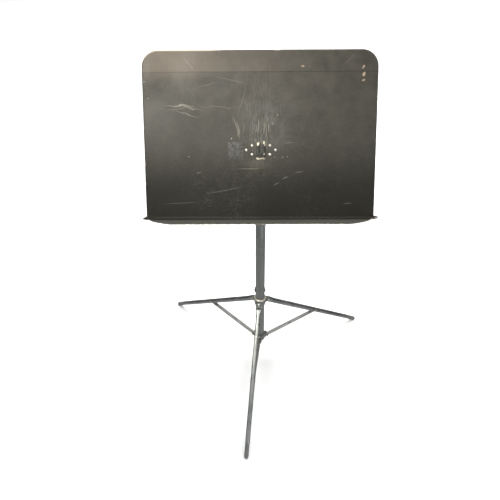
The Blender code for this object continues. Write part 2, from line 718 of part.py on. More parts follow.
def shelf_rows():
    """Rows of the shelf, from its front edge to the bend.  A row is its place, width and roll."""
    flat_half = flat_half_at(0.0)
    full = flat_half + ROLL_LENGTH
    turn = math.radians(90.0 - SHELF_DROOP)
    setback = BEND_RADIUS * math.tan(turn / 2.0)
    droop = math.radians(SHELF_DROOP)
    rows = []
    for fraction in (1.0, 0.985, 0.95, 0.89, 0.80, 0.69, 0.56, 0.42, 0.28, 0.17, 0.135):
        depth = SHELF_DEPTH * fraction
        half = shelf_half_width(depth)
        rows.append(sheet_row(depth * math.cos(droop), -depth * math.sin(droop), half * flat_half / full,
                              strip=half / full, depth=depth))
    bend_steps = 5
    for index in range(bend_steps + 1):
        angle = turn * (1.0 - index / bend_steps)
        forward = BEND_RADIUS * (1.0 - math.cos(angle))
        height = setback - BEND_RADIUS * math.sin(angle)
        rows.append(sheet_row(forward, height, flat_half_at(height), strip=strip_share(height),
                              angle=side_roll_angle(height), depth=forward))
    return rows


def panel_rows():
    """Rows of the panel above the bend, up to the top edge's corners."""
    flat_top = DESK_HEIGHT - ROLL_RADIUS
    corner = CORNER_RADIUS - ROLL_RADIUS
    pad = [PIVOT_UP_SHEET + side * half for side, half in
           ((-1, PAD_HALF_HEIGHT), (-1, PAD_HALF_HEIGHT - PAD_SLOPE), (1, PAD_HALF_HEIGHT - PAD_SLOPE),
            (1, PAD_HALF_HEIGHT))]
    heights = [0.0075, 0.009, 0.0105, 0.012, 0.018, 0.024, 0.030, 0.060, 0.100, *pad, 0.205, 0.260, CREASE_HEIGHT]
    rows = [sheet_row(0.0, height, flat_half_at(height), strip=strip_share(height),
                      angle=side_roll_angle(height)) for height in heights]
    flat_half = flat_half_at(flat_top - corner)
    for degrees in (0.0, 15.0, 30.0, 45.0, 60.0, 75.0, 90.0):
        turn = math.radians(degrees)
        rows.append(sheet_row(0.0, flat_top - corner + corner * math.sin(turn),
                              flat_half - corner + corner * math.cos(turn),
                              angle=math.radians(90.0), corner=turn))
    return rows


def crease_back(height):
    """How far the strip above the crease leans back."""
    return max(height - CREASE_HEIGHT, 0.0) * math.tan(math.radians(CREASE_ANGLE))


def pad_rise(x, height):
    """How far the pressed pad over the bracket stands forward."""
    def ramp(distance, half):
        return min(max((half - abs(distance)) / PAD_SLOPE, 0.0), 1.0)
    across = ramp(x - PAD_CENTRE_X, PAD_HALF_WIDTH)
    return PAD_RISE * min(across, ramp(height - PIVOT_UP_SHEET, PAD_HALF_HEIGHT))


def sheet_point(row, x, outwards=0.0, back=0.0, side=0):
    """A point of the sheet's front face in the desk's frame."""
    reach = outwards * math.cos(row["corner"])
    lift = outwards * math.sin(row["corner"])
    height = row["up"] + lift
    rise = 0.0
    if side and row["depth"] > 0.0:
        near_bend = max(1.0 - row["depth"] / 0.020, 0.0) * max(1.0 - row["angle"] / math.radians(45.0), 0.0)
        rise = TIP_RISE[side] * near_bend * (outwards / ROLL_LENGTH) ** 2
    y = -PIVOT_TO_SHEET - row["forward"] + back + crease_back(height)
    if not side and row["forward"] == 0.0:
        y -= pad_rise(x, height)
    return (DESK_SHIFT + x + side * reach, y, height + rise - PIVOT_UP_SHEET)


def column_places():
    """Places across the flat of the sheet, as fractions of its half width."""
    flat_half = DESK_WIDTH / 2.0 - ROLL_RADIUS
    pad = [PAD_CENTRE_X + offset for offset in
           (-PAD_HALF_WIDTH, -PAD_HALF_WIDTH + PAD_SLOPE, PAD_HALF_WIDTH - PAD_SLOPE, PAD_HALF_WIDTH)]
    places = [-flat_half, -0.190, -0.120, -0.055, *pad, 0.055, 0.120, 0.190, flat_half]
    return [place_x / flat_half for place_x in places]


def stitch(bm, first, second):
    """Faces between two lines of vertices."""
    for index in range(1, len(first)):
        bm.faces.new((first[index - 1], second[index - 1], second[index], first[index]))


def edge_strip(bm, rows, flat, strip, side, top_corner):
    """The strip along one side, which shares the flat grid's edge and the top strip's end."""
    edge = 0 if side == -1 else -1
    lines = []
    for row, line in zip(rows[:-1], flat):
        points = [sheet_point(row, side * row["flat"], *rolled(distance * row["strip"], row["angle"]), side)
                  for distance in strip]
        lines.append([line[edge]] + [bm.verts.new(point) for point in points])
    lines.append(top_corner)
    for lower, upper in zip(lines, lines[1:]):
        stitch(bm, lower, upper)


def build_sheet():
    """The front face of the whole sheet: a flat grid with its edge strips rolled back, and the shelf."""
    rows = shelf_rows() + panel_rows()
    columns = column_places()
    strip = [ROLL_LENGTH * fraction for fraction in (0.13, 0.26, 0.39, 0.52, 0.76, 1.0)]
    bm = bmesh.new()
    flat = [[bm.verts.new(sheet_point(row, row["flat"] * column)) for column in columns] for row in rows]
    last = rows[-1]
    top = []
    for column, vertex in zip(columns, flat[-1]):
        points = [sheet_point(last, last["flat"] * column, *rolled(distance, last["angle"]))
                  for distance in strip]
        top.append([vertex] + [bm.verts.new(point) for point in points])
    for lower, upper in zip(flat, flat[1:]):
        stitch(bm, lower, upper)
    for left, right in zip(top, top[1:]):
        stitch(bm, left, right)
    edge_strip(bm, rows, flat, strip, -1, top[0])
    edge_strip(bm, rows, flat, strip, 1, top[-1])
    bmesh.ops.recalc_face_normals(bm, faces=bm.faces)
    bm.faces.ensure_lookup_table()
    if bm.faces[0].normal.z < 0.0:
        bmesh.ops.reverse_faces(bm, faces=bm.faces)
    mesh = bpy.data.meshes.new("desk_panel")
    bm.to_mesh(mesh)
    bm.free()
    return mesh


def rivet_spot(x, height, depth):
    """A place on the desk's rivet line, at a depth behind the sheet's front."""
    return Vector((DESK_SHIFT + PAD_CENTRE_X + x, -PIVOT_TO_SHEET + depth, height))


def desk_normal_frame(spot):
    """A frame in the desk whose Z points out of the desk's back."""
    return desk_frame() @ frame(spot, Vector((0.0, 0.0, 1.0)), Vector((1.0, 0.0, 0.0)))


def build_desk(head):
    """The formed sheet, its hinge bracket and the rivets that join them."""
    desk = empty("desk_tilt_axis", desk_frame(), head)
    panel = mesh_object("desk_panel", build_sheet(), desk_enamel)
    place(panel, desk_frame(), desk)
    wall = panel.modifiers.new("gauge", "SOLIDIFY")
    wall.thickness = DESK_GAUGE
    wall.offset = -1.0
    bracket = build_desk_bracket(desk)
    grip_start = -GAP
    grip_end = DESK_GAUGE + GAP + BRACKET_PLATE + GAP
    for index, (x, height) in enumerate(RIVET_PLACES):
        middle = desk_normal_frame(rivet_spot(x, height, (grip_start + grip_end) / 2.0))
        hole = rod(f"desk_rivet_hole_{index + 1}", RIVET_RADIUS + GAP, 0.012)
        place(hole, middle, desk)
        boolean(panel, hole, "DIFFERENCE")
        boolean(bracket, hole, "DIFFERENCE")
        pin = rivet(f"desk_rivet_{index + 1}", RIVET_RADIUS, grip_end - grip_start, RIVET_HEAD_RADIUS,
                    RIVET_HEAD_HEIGHT, plated)
        place(pin, middle, desk)
    return desk


def build_desk_bracket(desk):
    """A long plate with cut corners behind the sheet, with two ears that hold the tilt bolt."""
    right_half = [(BRACKET_HALF_FLAT, -BRACKET_HALF_HEIGHT), (BRACKET_HALF_WIDTH, -BRACKET_HALF_END),
                  (BRACKET_HALF_WIDTH, BRACKET_HALF_END), (BRACKET_HALF_FLAT, BRACKET_HALF_HEIGHT)]
    outline = right_half + [(-x, y) for x, y in reversed(right_half)]
    back = -PIVOT_TO_SHEET + DESK_GAUGE + GAP
    middle = Vector((0.0, back + BRACKET_PLATE / 2.0, 0.0))
    bracket = plate("desk_bracket", outline, BRACKET_PLATE, steel)
    place(bracket, desk_frame() @ frame(middle, Vector((1.0, 0.0, 0.0)), Vector((0.0, 0.0, 1.0))), desk)
    ear = [(back + 0.0004, -EAR_ROOT_HALF), (back + 0.0004, EAR_ROOT_HALF)]
    ear += reversed(arc((0.0, 0.0), CHEEK_RADIUS, -75.0, 75.0, 12))
    offset = TONGUE_HALF + WASHER_THICKNESS + 2.0 * GAP + EAR_THICKNESS / 2.0
    for side in (-1, 1):
        cheek = plate(f"desk_ear_{side}", ear, EAR_THICKNESS)
        place(cheek, desk_frame() @ frame(Vector((side * offset, 0.0, 0.0)), Vector((0.0, 1.0, 0.0)),
                                          Vector((0.0, 0.0, 1.0))), desk)
        boolean(bracket, cheek, "UNION")
    hole = rod("desk_bolt_hole", BOLT_RADIUS + GAP, 0.04, 16)
    place(hole, tilt_frame(0.0), desk)
    boolean(bracket, hole, "DIFFERENCE")
    return bracket


# Tilt joint.

def tilt_frame(x):
    """A point on the tilt axis.  Z points to the right, along the bolt."""
    return frame(Vector((x, 0.0, PIVOT_HEIGHT)), Vector((0.0, 1.0, 0.0)), UP.copy())


def build_tilt_head(tube):
    """The head on top of the inner tube: a socket, and a tongue that the desk's ears straddle."""
    bore = INNER_TUBE_RADIUS + GAP
    profile = [(0.0, HEAD_SHOULDER), (HEAD_RADIUS - 0.002, HEAD_SHOULDER),
               (HEAD_RADIUS, HEAD_SHOULDER - 0.002), (HEAD_RADIUS, HEAD_BOTTOM + 0.001),
               (HEAD_RADIUS - 0.001, HEAD_BOTTOM), (bore, HEAD_BOTTOM), (bore, INNER_TUBE_TOP + GAP),
               (0.0, INNER_TUBE_TOP + GAP)]
    head = turned("tilt_head", profile, steel)
    place(head, Matrix.Identity(4), tube)
    foot = HEAD_SHOULDER - 0.002 - PIVOT_HEIGHT
    outline = [(CHEEK_RADIUS, foot), *arc((0.0, 0.0), CHEEK_RADIUS, 0.0, 180.0, 12), (-CHEEK_RADIUS, foot)]
    tongue = plate("tilt_tongue", outline, 2.0 * TONGUE_HALF)
    place(tongue, tilt_frame(0.0), tube)
    boolean(head, tongue, "UNION")
    hole = rod("tongue_hole", BOLT_RADIUS + GAP, 0.03, 16)
    place(hole, tilt_frame(0.0), tube)
    boolean(head, hole, "DIFFERENCE")
    for name, side in (("left", -1), ("right", 1)):
        section = ring_profile(BOLT_RADIUS + GAP, CHEEK_RADIUS - 0.0005,
                               -WASHER_THICKNESS / 2.0, WASHER_THICKNESS / 2.0)
        washer = turned(f"tilt_washer_{name}", section, black_plastic, 24)
        place(washer, tilt_frame(side * (TONGUE_HALF + GAP + WASHER_THICKNESS / 2.0)), tube)


def build_tilt_bolt(desk):
    """The bolt through ears and tongue, which turns with the desk, and the knob on its end."""
    ear_outside = TONGUE_HALF + WASHER_THICKNESS + 3.0 * GAP + EAR_THICKNESS
    tip = ear_outside + TILT_KNOB_DEPTH - 0.003
    head = -ear_outside
    profile = [(0.0, tip), (BOLT_RADIUS, tip), (BOLT_RADIUS, head), (0.0052, head), (0.0058, head - 0.0012),
               (0.0040, head - 0.0036), (0.0, head - 0.0042)]
    place(turned("tilt_bolt", profile, plated, 16), tilt_frame(0.0), desk)
    knob, grooves = fluted_knob("tilt_knob", TILT_KNOB_RADIUS, TILT_KNOB_DEPTH, BOLT_RADIUS + GAP, 6,
                                black_plastic)
    place_knob(knob, grooves, tilt_frame(ear_outside + GAP), desk)


# The stand.

def shade():
    """Shades round faces smooth and keeps the folds sharp."""
    for item in parts.objects:
        if item.type == "MESH":
            item.data.shade_smooth()
            item.data.set_sharp_from_angle(angle=math.radians(35.0))


clear_scene()
parts = new_collection("music_stand")
cutters = new_collection("cutters")

desk_enamel = new_material("desk_enamel", (0.085, 0.080, 0.068), 0.45, 0.2)
steel = new_material("dull_plated_steel", (0.30, 0.31, 0.30), 0.35, 0.9)
plated = new_material("bright_plated_steel", (0.52, 0.52, 0.49), 0.30, 1.0)
black_plastic = new_material("black_plastic", (0.030, 0.030, 0.032), 0.50, 0.0)
white_plastic = new_material("white_plastic", (0.70, 0.69, 0.65), 0.45, 0.0)
grey_rubber = new_material("grey_rubber", (0.23, 0.23, 0.23), 0.75, 0.0)

stand_root = empty("stand_origin", Matrix.Translation((AXIS_X, AXIS_Y, 0.0)))
build_column(stand_root)
build_clutch(stand_root)
build_bottom_bracket(stand_root)
sliding_hub = build_hub(stand_root)
build_lock(sliding_hub)
for leg_name, leg_azimuth in LEG_AZIMUTHS.items():
    build_leg(leg_name, leg_azimuth, sliding_hub)
swivel_axis = empty("swivel_axis", Matrix.Translation((0.0, 0.0, OUTER_TUBE_TOP)), stand_root)
mast = build_inner_tube(swivel_axis)
build_tilt_head(mast)
tilting_desk = build_desk(mast)
build_tilt_bolt(tilting_desk)
shade()
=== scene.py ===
"""Looks for the folding music stand.

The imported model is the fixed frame.  The formed sheet, the channels, the turned pieces and the knobs
are rebuilt finely around it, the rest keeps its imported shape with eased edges, and every surface gets a
worn, procedural material.
"""

import json
import math

import bmesh
import bpy
from mathutils import Matrix, Vector


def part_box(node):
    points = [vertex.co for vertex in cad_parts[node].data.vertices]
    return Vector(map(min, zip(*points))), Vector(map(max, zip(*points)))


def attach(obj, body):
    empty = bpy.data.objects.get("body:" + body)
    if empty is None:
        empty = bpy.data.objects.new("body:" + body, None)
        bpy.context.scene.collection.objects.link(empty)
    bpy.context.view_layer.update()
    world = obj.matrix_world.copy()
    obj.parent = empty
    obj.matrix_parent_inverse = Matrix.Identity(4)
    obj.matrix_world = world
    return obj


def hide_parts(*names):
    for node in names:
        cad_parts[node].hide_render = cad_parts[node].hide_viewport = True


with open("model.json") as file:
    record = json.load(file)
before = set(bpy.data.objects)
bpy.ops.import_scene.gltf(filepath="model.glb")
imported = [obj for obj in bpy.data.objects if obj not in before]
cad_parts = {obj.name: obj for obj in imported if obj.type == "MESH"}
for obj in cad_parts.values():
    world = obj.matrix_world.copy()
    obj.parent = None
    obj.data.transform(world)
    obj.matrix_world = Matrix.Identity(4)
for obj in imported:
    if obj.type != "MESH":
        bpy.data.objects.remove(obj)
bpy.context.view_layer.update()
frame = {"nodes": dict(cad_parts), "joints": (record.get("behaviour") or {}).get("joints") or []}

UP = Vector((0.0, 0.0, 1.0))

# Camera: where it stands, which way it looks, and its lens on a square 36 mm frame.
CAMERA_PLACE = Vector((-0.0328, -0.9156, 1.3078))
CAMERA_PITCH = math.radians(41.47)
CAMERA_YAW = math.radians(0.79)
CAMERA_ROLL = math.radians(-0.66)
CAMERA_LENS = 36.0

# Desk: the formed sheet.  Its frame has the tilt pivot as origin, X right, Y out of the back and
# Z up the sheet.
DESK_LEAN = math.radians(29.06)
DESK_SHIFT = -0.0028
DESK_WIDTH = 0.508
DESK_HEIGHT = 0.360
DESK_GAUGE = 0.0012
SIDE_TAPER = 0.0025
CORNER_RADIUS = 0.036
ROLL_RADIUS = 0.004
ROLL_LENGTH = 0.0123
ROLL_STARTS = 0.004
ROLL_IS_FULL = 0.012
ROLL_NOTCH_TOP = 0.030
ROLL_AT_NOTCH = 0.35
BEND_RADIUS = 0.006
SHELF_DEPTH = 0.057
SHELF_DROOP = math.radians(2.4)
SHELF_FRONT_HALF = 0.195
EAR_REACH = 0.0105
EAR_DEPTH = 0.009
TIP_RISE = {-1: 0.002, 1: 0.006}
# Steps across an edge strip, and where along it the wear on its fold and at its rim lies.
STRIP_STEPS = 14
FOLD_CREST = math.radians(48.0)
FOLD_WIDTH = 0.0016
RIM_WIDTH = 0.0016
CREASE_HEIGHT = 0.316
CREASE_ANGLE = math.radians(1.3)
CREASE_BLEND = 0.004
PAD_X = 0.0024
PAD_Z = 0.1523
PAD_HALF_WIDTH = 0.011
PAD_HALF_HEIGHT = 0.018
PAD_SLOPE = 0.0032
PAD_RISE = 0.0025
DENT_X = 0.0035
DENT_Z = 0.104
DENT_RADIUS = 0.0065
DENT_DEPTH = 0.0013
PIVOT_TO_SHEET = 0.0206
PIVOT_UP_SHEET = 0.1523
RIVET_HEAD_RADIUS = 0.0030
RIVET_HEAD_HEIGHT = 0.0016

# Column.
TUBE_WALL = 0.0012
GAP = 0.0003
WIPER_GAP = 0.0007
GROOVE_DEPTH = 0.0006

# Tripod channels.
LEG_HALF_WIDTH = 0.00625
LEG_TOP = 0.0052
LEG_LOW_AT_HUB = -0.0058
LEG_LOW_AT_FOOT = -0.0038
LEG_GAUGE = 0.0011
LEG_WEB_START = 0.009
LEG_SHOULDER = 0.0040
FOOT_CAP_LENGTH = 0.038
FOOT_CAP_LOW = -0.0052
FOOT_NOSE = 0.0075
FLOOR_GAP = 0.00005
STAY_HALF_WIDTH = 0.0047
STAY_TOP = 0.0028
STAY_LOW = -0.0034
STAY_GAUGE = 0.0010
STAY_SHOULDER = 0.0016
PIN_HEAD_RADIUS = 0.0029
BRACKET_RIVET_RADIUS = 0.0029
BRACKET_RIVET_HEIGHT = 0.0014
STAY_PIN_HEAD_RADIUS = PIN_HEAD_RADIUS - 0.0004
PIN_HEAD_HEIGHT = 0.0013
SIDES = ("front", "right", "left")

joints = {joint["name"]: joint for joint in frame["joints"]}


# Node trees.

class Shade:
    """A material, with short calls for the nodes that it is built from."""

    def __init__(self, name):
        self.material = bpy.data.materials.new(name)
        self.material.use_nodes = True
        self.nodes = self.material.node_tree.nodes
        self.links = self.material.node_tree.links
        self.shader = self.nodes["Principled BSDF"]
        self.coordinates = self.nodes.new("ShaderNodeTexCoord").outputs["Object"]

    def join(self, socket, value):
        """Feeds a socket from another socket, or sets its number or colour."""
        if isinstance(value, bpy.types.NodeSocket):
            self.links.new(value, socket)
        elif isinstance(value, tuple) and len(value) == 3 and socket.type == "RGBA":
            socket.default_value = (*value, 1.0)
        else:
            socket.default_value = value

    def surface(self, **values):
        """Sets the shader's own sockets by name, with _ for a space."""
        for name, value in values.items():
            self.join(self.shader.inputs[name.replace("_", " ")], value)
        return self.material

    def add(self, kind, inputs, **settings):
        """A new node of a kind, with inputs by name or number."""
        node = self.nodes.new("ShaderNode" + kind)
        for name, value in settings.items():
            setattr(node, name, value)
        for socket, value in inputs.items():
            self.join(node.inputs[socket], value)
        return node

    def math(self, operation, first, second=0.0, clamp=False):
        return self.add("Math", {0: first, 1: second}, operation=operation, use_clamp=clamp).outputs[0]

    def times(self, first, second):
        return self.math("MULTIPLY", first, second)

    def plus(self, first, second, clamp=False):
        return self.math("ADD", first, second, clamp)

    def most(self, first, second):
        return self.math("MAXIMUM", first, second)

    def many(self, operation, values):
        """Chains an operation over several values, each taken as soon as it is made."""
        total = None
        for value in values:
            total = value if total is None else self.math(operation, total, value)
        return total

    def smooth(self, value, low, high, start=0.0, end=1.0):
        """A smooth step from start at low to end at high."""
        inputs = dict(enumerate((value, low, high, start, end)))
        return self.add("MapRange", inputs, interpolation_type="SMOOTHSTEP").outputs[0]

    def placed(self, place=(0.0, 0.0, 0.0), turn=(0.0, 0.0, 0.0), scale=(1.0, 1.0, 1.0), vector=None):
        """Coordinates seen from a place, turned and scaled."""
        inputs = {"Vector": vector or self.coordinates, "Location": place, "Rotation": turn, "Scale": scale}
        return self.add("Mapping", inputs, vector_type="TEXTURE").outputs[0]

    def noise(self, scale, detail=3.0, rough=0.55, warp=0.0, vector=None):
        inputs = {"Vector": vector or self.coordinates, "Scale": scale, "Detail": detail,
                  "Roughness": rough, "Distortion": warp}
        return self.add("TexNoise", inputs).outputs["Fac"]

    def cells(self, scale, vector):
        """Distance to the nearest of many scattered points."""
        return self.add("TexVoronoi", {"Vector": vector, "Scale": scale}).outputs["Distance"]

    def length(self, vector):
        return self.add("VectorMath", {0: vector}, operation="LENGTH").outputs["Value"]

    def axes(self, vector):
        return tuple(self.add("SeparateXYZ", {0: vector}).outputs)

    def ragged(self, amount, scale):
        """Coordinates pushed about by noise, for ragged outlines."""
        here = self.coordinates
        noise = self.add("TexNoise", {"Vector": here, "Scale": scale, "Detail": 3.0}).outputs["Color"]
        push = self.add("VectorMath", {0: noise, 1: (amount,) * 3, 2: here}, operation="MULTIPLY_ADD")
        centre = {0: push.outputs[0], 1: (amount / 2.0,) * 3}
        return self.add("VectorMath", centre, operation="SUBTRACT").outputs[0]

    def mix(self, share, first, second):
        return self.add("Mix", {0: share, 6: first, 7: second}, data_type="RGBA").outputs[2]

    def attribute(self, name):
        return self.add("Attribute", {}, attribute_name=name).outputs["Fac"]

    def bump(self, height, distance, strength=1.0, under=None):
        inputs = {"Distance": distance, "Strength": strength, "Height": height}
        if under:
            inputs["Normal"] = under
        return self.add("Bump", inputs).outputs[0]


# Desk enamel.  Places on the sheet are (across from its middle, up from its bend), in metres.

def sheet_place(across, up):
    """A place on the sheet's front in the desk's frame."""
    return DESK_SHIFT + across, -PIVOT_TO_SHEET, up - PIVOT_UP_SHEET


def patch(shade, across, up, half_width, half_height, turn=0.0, soft=0.35, vector=None):
    """1 inside an ellipse on the sheet, 0 outside.  It ignores depth."""
    place = sheet_place(across, up)
    seen = shade.placed(place, (0.0, -math.radians(turn), 0.0), (half_width, 1.0, half_height), vector)
    return shade.smooth(shade.length(seen), 1.0 - soft, 1.0 + soft, 1.0, 0.0)


def block(shade, across, up, half_width, half_height, soft, vector=None):
    """1 inside a rectangle on the sheet, 0 outside."""
    place = sheet_place(across, up)
    x, _, z = shade.axes(shade.placed(place, (0.0, 0.0, 0.0), (half_width, 1.0, half_height), vector))
    farther = shade.most(shade.math("ABSOLUTE", x), shade.math("ABSOLUTE", z))
    return shade.smooth(farther, 1.0 - soft, 1.0 + soft, 1.0, 0.0)


def strokes(shade, turn, fine, long, keep, seed):
    """Thin, long scratches that run one way.  keep is how much noise counts as a scratch."""
    seen = shade.placed((seed, 0.0, seed), (0.0, -math.radians(turn), 0.0), (long, 1.0, fine))
    return shade.smooth(shade.noise(1.0, 2.0, 0.5, 0.15, seen), keep, keep + 0.05)


def scratches(shade):
    """Light scratches: a faint net all over, a fan above the pad, and two bundles on the left."""
    net = shade.many("ADD", (shade.times(strokes(shade, *stroke), weight) for *stroke, weight in NET_STROKES))
    worn = shade.smooth(shade.noise(7.0, 2.0), 0.38, 0.66)
    left = shade.smooth(shade.axes(shade.coordinates)[0], -0.05, 0.20, 1.0, 0.45)
    total = shade.many("MULTIPLY", (net, worn, left))

    upright = shade.many("MAXIMUM", (strokes(shade, *stroke) for stroke in FAN_STROKES))
    fan = shade.times(patch(shade, -0.002, 0.218, 0.046, 0.082, 4.0, 0.7), 0.44)
    core = shade.times(patch(shade, 0.004, 0.190, 0.018, 0.032, 0.0, 0.7), 0.85)
    total = shade.plus(total, shade.times(upright, shade.plus(fan, core)))

    waved = shade.ragged(0.022, 36.0)
    for *line, weight in WAVY_SCRATCHES:
        total = shade.plus(total, shade.times(patch(shade, *line, 0.7, waved), weight))
    bent = shade.ragged(0.003, 20.0)
    for *line, weight in STRAIGHT_SCRATCHES:
        total = shade.plus(total, shade.times(patch(shade, *line, 0.6, bent), weight))
    return shade.math("MINIMUM", total, 1.0)


# Turn, width, length, how much noise counts, seed, and for the net a strength.
NET_STROKES = ((8.0, 0.00045, 0.030, 0.64, 0.3, 0.30), (62.0, 0.00040, 0.026, 0.64, 1.7, 0.26),
               (-38.0, 0.00045, 0.034, 0.65, 2.9, 0.30), (94.0, 0.00040, 0.030, 0.65, 4.1, 0.26))
FAN_STROKES = ((88.0, 0.00050, 0.040, 0.60, 6.1), (94.0, 0.00042, 0.040, 0.62, 7.3),
               (99.0, 0.00046, 0.040, 0.63, 8.9))
# Across, up, half length, half width, turn, strength.
WAVY_SCRATCHES = (
    (-0.172, 0.246, 0.026, 0.0011, -4.0, 0.46), (-0.150, 0.242, 0.024, 0.0010, -10.0, 0.40),
    (-0.158, 0.230, 0.022, 0.0011, -12.0, 0.46), (-0.180, 0.240, 0.018, 0.0008, 4.0, 0.30),
    (-0.086, 0.243, 0.036, 0.0006, 1.0, 0.26), (-0.052, 0.207, 0.018, 0.0012, 106.0, 0.34),
    (-0.046, 0.196, 0.014, 0.0014, 98.0, 0.44),
)
STRAIGHT_SCRATCHES = (
    (-0.150, 0.330, 0.016, 0.0005, -48.0, 0.34), (-0.060, 0.298, 0.030, 0.0004, -12.0, 0.34),
    (-0.110, 0.290, 0.020, 0.0005, 14.0, 0.30), (-0.038, 0.255, 0.024, 0.0004, 70.0, 0.34),
    (-0.176, 0.036, 0.030, 0.0004, 3.0, 0.40), (-0.078, 0.064, 0.034, 0.0004, 11.0, 0.44),
    (0.056, 0.092, 0.006, 0.0006, 24.0, 0.50), (0.036, 0.078, 0.006, 0.0006, 32.0, 0.44),
    (0.086, 0.104, 0.008, 0.0006, 8.0, 0.40), (0.062, 0.167, 0.010, 0.0005, 3.0, 0.40),
    (0.196, 0.034, 0.008, 0.0006, 4.0, 0.44), (0.190, 0.340, 0.016, 0.0004, 44.0, 0.30),
    (-0.135, 0.103, 0.005, 0.0006, 20.0, 0.50), (-0.026, 0.112, 0.020, 0.0005, 0.0, 0.55),
)

# Paint gone to the primer: across, up, half width, half height, turn.
CHIPS = ((0.2195, 0.324, 0.0016, 0.0042, -34.0), (0.2205, 0.309, 0.0030, 0.0046, -30.0),
         (0.2205, 0.297, 0.0034, 0.0018, 24.0), (0.0910, 0.326, 0.0030, 0.0014, 8.0))
# Paint gone to bright metal round the pressed pad.
BARE = ((-0.0038, 0.1653, 0.0024, 0.0042, -18.0), (0.0098, 0.1663, 0.0024, 0.0050, 14.0),
        (-0.0040, 0.1338, 0.0046, 0.0022, 0.0), (0.0066, 0.1338, 0.0044, 0.0022, 0.0),
        (0.0012, 0.1338, 0.0060, 0.0013, 0.0), (0.0095, 0.1435, 0.0014, 0.0015, 0.0))
# Small bright nicks.
NICKS = ((-0.062, 0.177, 0.0011, 0.0013), (0.050, 0.136, 0.0007, 0.0008), (0.060, 0.137, 0.0008, 0.0009),
         (0.032, 0.136, 0.0007, 0.0007), (0.038, 0.226, 0.0008, 0.0008), (0.027, 0.208, 0.0007, 0.0008),
         (-0.157, 0.138, 0.0018, 0.0006), (-0.247, 0.296, 0.0009, 0.0009), (-0.240, 0.262, 0.0009, 0.0010))


# Colours of the enamel, of what lies on it or shows through it, and of the painted light and shade on it.
DARK_ENAMEL = (0.021, 0.020, 0.0155)
LIGHT_ENAMEL = (0.034, 0.0315, 0.025)
SPECK = (0.062, 0.058, 0.045)
UPPER_PALE = (0.084, 0.076, 0.060)
TAN = (0.170, 0.138, 0.104)
SCUFF = (0.120, 0.122, 0.122)
PAD_SHADE = (0.012, 0.0125, 0.012)
# Painted light and shade: the strip above the crease, the crease and dent, the buckle, the lower panel and
# the shelf.
TOP_STRIP_PAINTED_LIGHT = (0.130, 0.104, 0.080)
CREASE_PAINTED_SHADE = (0.006, 0.006, 0.0055)
BUCKLE_PAINTED_LIGHT = (0.120, 0.110, 0.085)
LOWER_PANEL_PAINTED_SHADE = (0.0070, 0.0072, 0.0062)
SHELF_PAINTED_LIGHT = (0.085, 0.085, 0.074)
SCRATCH = (0.330, 0.315, 0.265)
PRIMER = (0.360, 0.270, 0.195)
RUBBED = (0.560, 0.480, 0.390)
BARE_METAL = (0.760, 0.690, 0.530)
# Depths in the desk's frame between which the panel gives way to the shelf.
SHELF_BEGINS = (-0.036, -0.030)


def enamel_ground(shade, grain, stain, height):
    """Mottled dark enamel, paler in patches towards the top."""
    cloud = shade.noise(5.0, 4.0, 0.6, 0.4)
    colour = shade.mix(shade.smooth(cloud, 0.35, 0.68), DARK_ENAMEL, LIGHT_ENAMEL)
    colour = shade.mix(shade.smooth(grain, 0.30, 0.72, 0.0, 0.42), colour, SPECK)
    paler_above = shade.times(shade.smooth(height, -0.15, 0.24), shade.smooth(stain, 0.30, 0.75, 0.10, 0.50))
    return shade.mix(paler_above, colour, UPPER_PALE)


def enamel_patches(shade, colour, stain):
    """A tan corner, a scuffed rectangle and haze by the pad, and the pad's dark middle."""
    tan = patch(shade, -0.195, 0.335, 0.085, 0.030, 0.0, 0.8, shade.ragged(0.03, 9.0))
    colour = shade.mix(shade.times(tan, 0.42), colour, TAN)
    scuffed = block(shade, -0.0535, 0.1515, 0.0165, 0.0185, 0.12, shade.ragged(0.003, 110.0))
    scuffed = shade.times(scuffed, shade.smooth(shade.noise(210.0, 4.0, 0.75), 0.38, 0.66))
    haze = shade.times(patch(shade, 0.020, 0.212, 0.050, 0.048, 0.0, 0.9), shade.smooth(stain, 0.30, 0.70))
    colour = shade.mix(shade.most(shade.times(scuffed, 0.70), shade.times(haze, 0.30)), colour, SCUFF)
    dark = block(shade, 0.0035, 0.1520, 0.0090, 0.0125, 0.14)
    return shade.mix(shade.times(dark, 0.85), colour, PAD_SHADE)


def painted_light_and_shade(shade, colour, across, depth, height):
    """Painted light and shade by place: the strip above the crease and the buckle above the dent painted
    lighter, painted shade in the crease, in the dent and over the lower panel, and the shelf painted lighter.
    """
    # Painted light: the strip above the crease is painted lighter, most on the left.
    above = shade.times(shade.smooth(height, 0.162, 0.1645), shade.smooth(across, -0.14, 0.16, 0.42, 0.0))
    colour = shade.mix(above, colour, TOP_STRIP_PAINTED_LIGHT)
    # Painted shade: a dark line along the crease and a dark spot in the dent.
    crease = patch(shade, 0.05, 0.3150, 0.30, 0.0009, 0.0, 0.6)
    hollow = patch(shade, 0.0040, 0.1015, 0.0050, 0.0026, 24.0, 0.6)
    colour = shade.mix(shade.most(shade.times(crease, 0.55), hollow), colour, CREASE_PAINTED_SHADE)
    # Painted light: the sheet just above the dent is painted lighter, where its buckle would catch the light.
    buckle_lit = shade.times(patch(shade, -0.0045, 0.1200, 0.0190, 0.0150, 0.0, 0.6),
                          shade.smooth(height, -0.0225, -0.0205, 1.0, 0.0))
    colour = shade.mix(shade.times(buckle_lit, 0.36), colour, BUCKLE_PAINTED_LIGHT)
    # Painted shade: the panel is painted darker towards the bend, the shelf excepted.
    lower = shade.times(shade.smooth(height, -0.100, 0.030, 0.60, 0.0), shade.smooth(depth, *SHELF_BEGINS))
    colour = shade.mix(lower, colour, LOWER_PANEL_PAINTED_SHADE)
    # Painted light: the shelf is painted lighter, as if lit from above.
    return shade.mix(shade.smooth(depth, *SHELF_BEGINS, 0.75, 0.0), colour, SHELF_PAINTED_LIGHT)


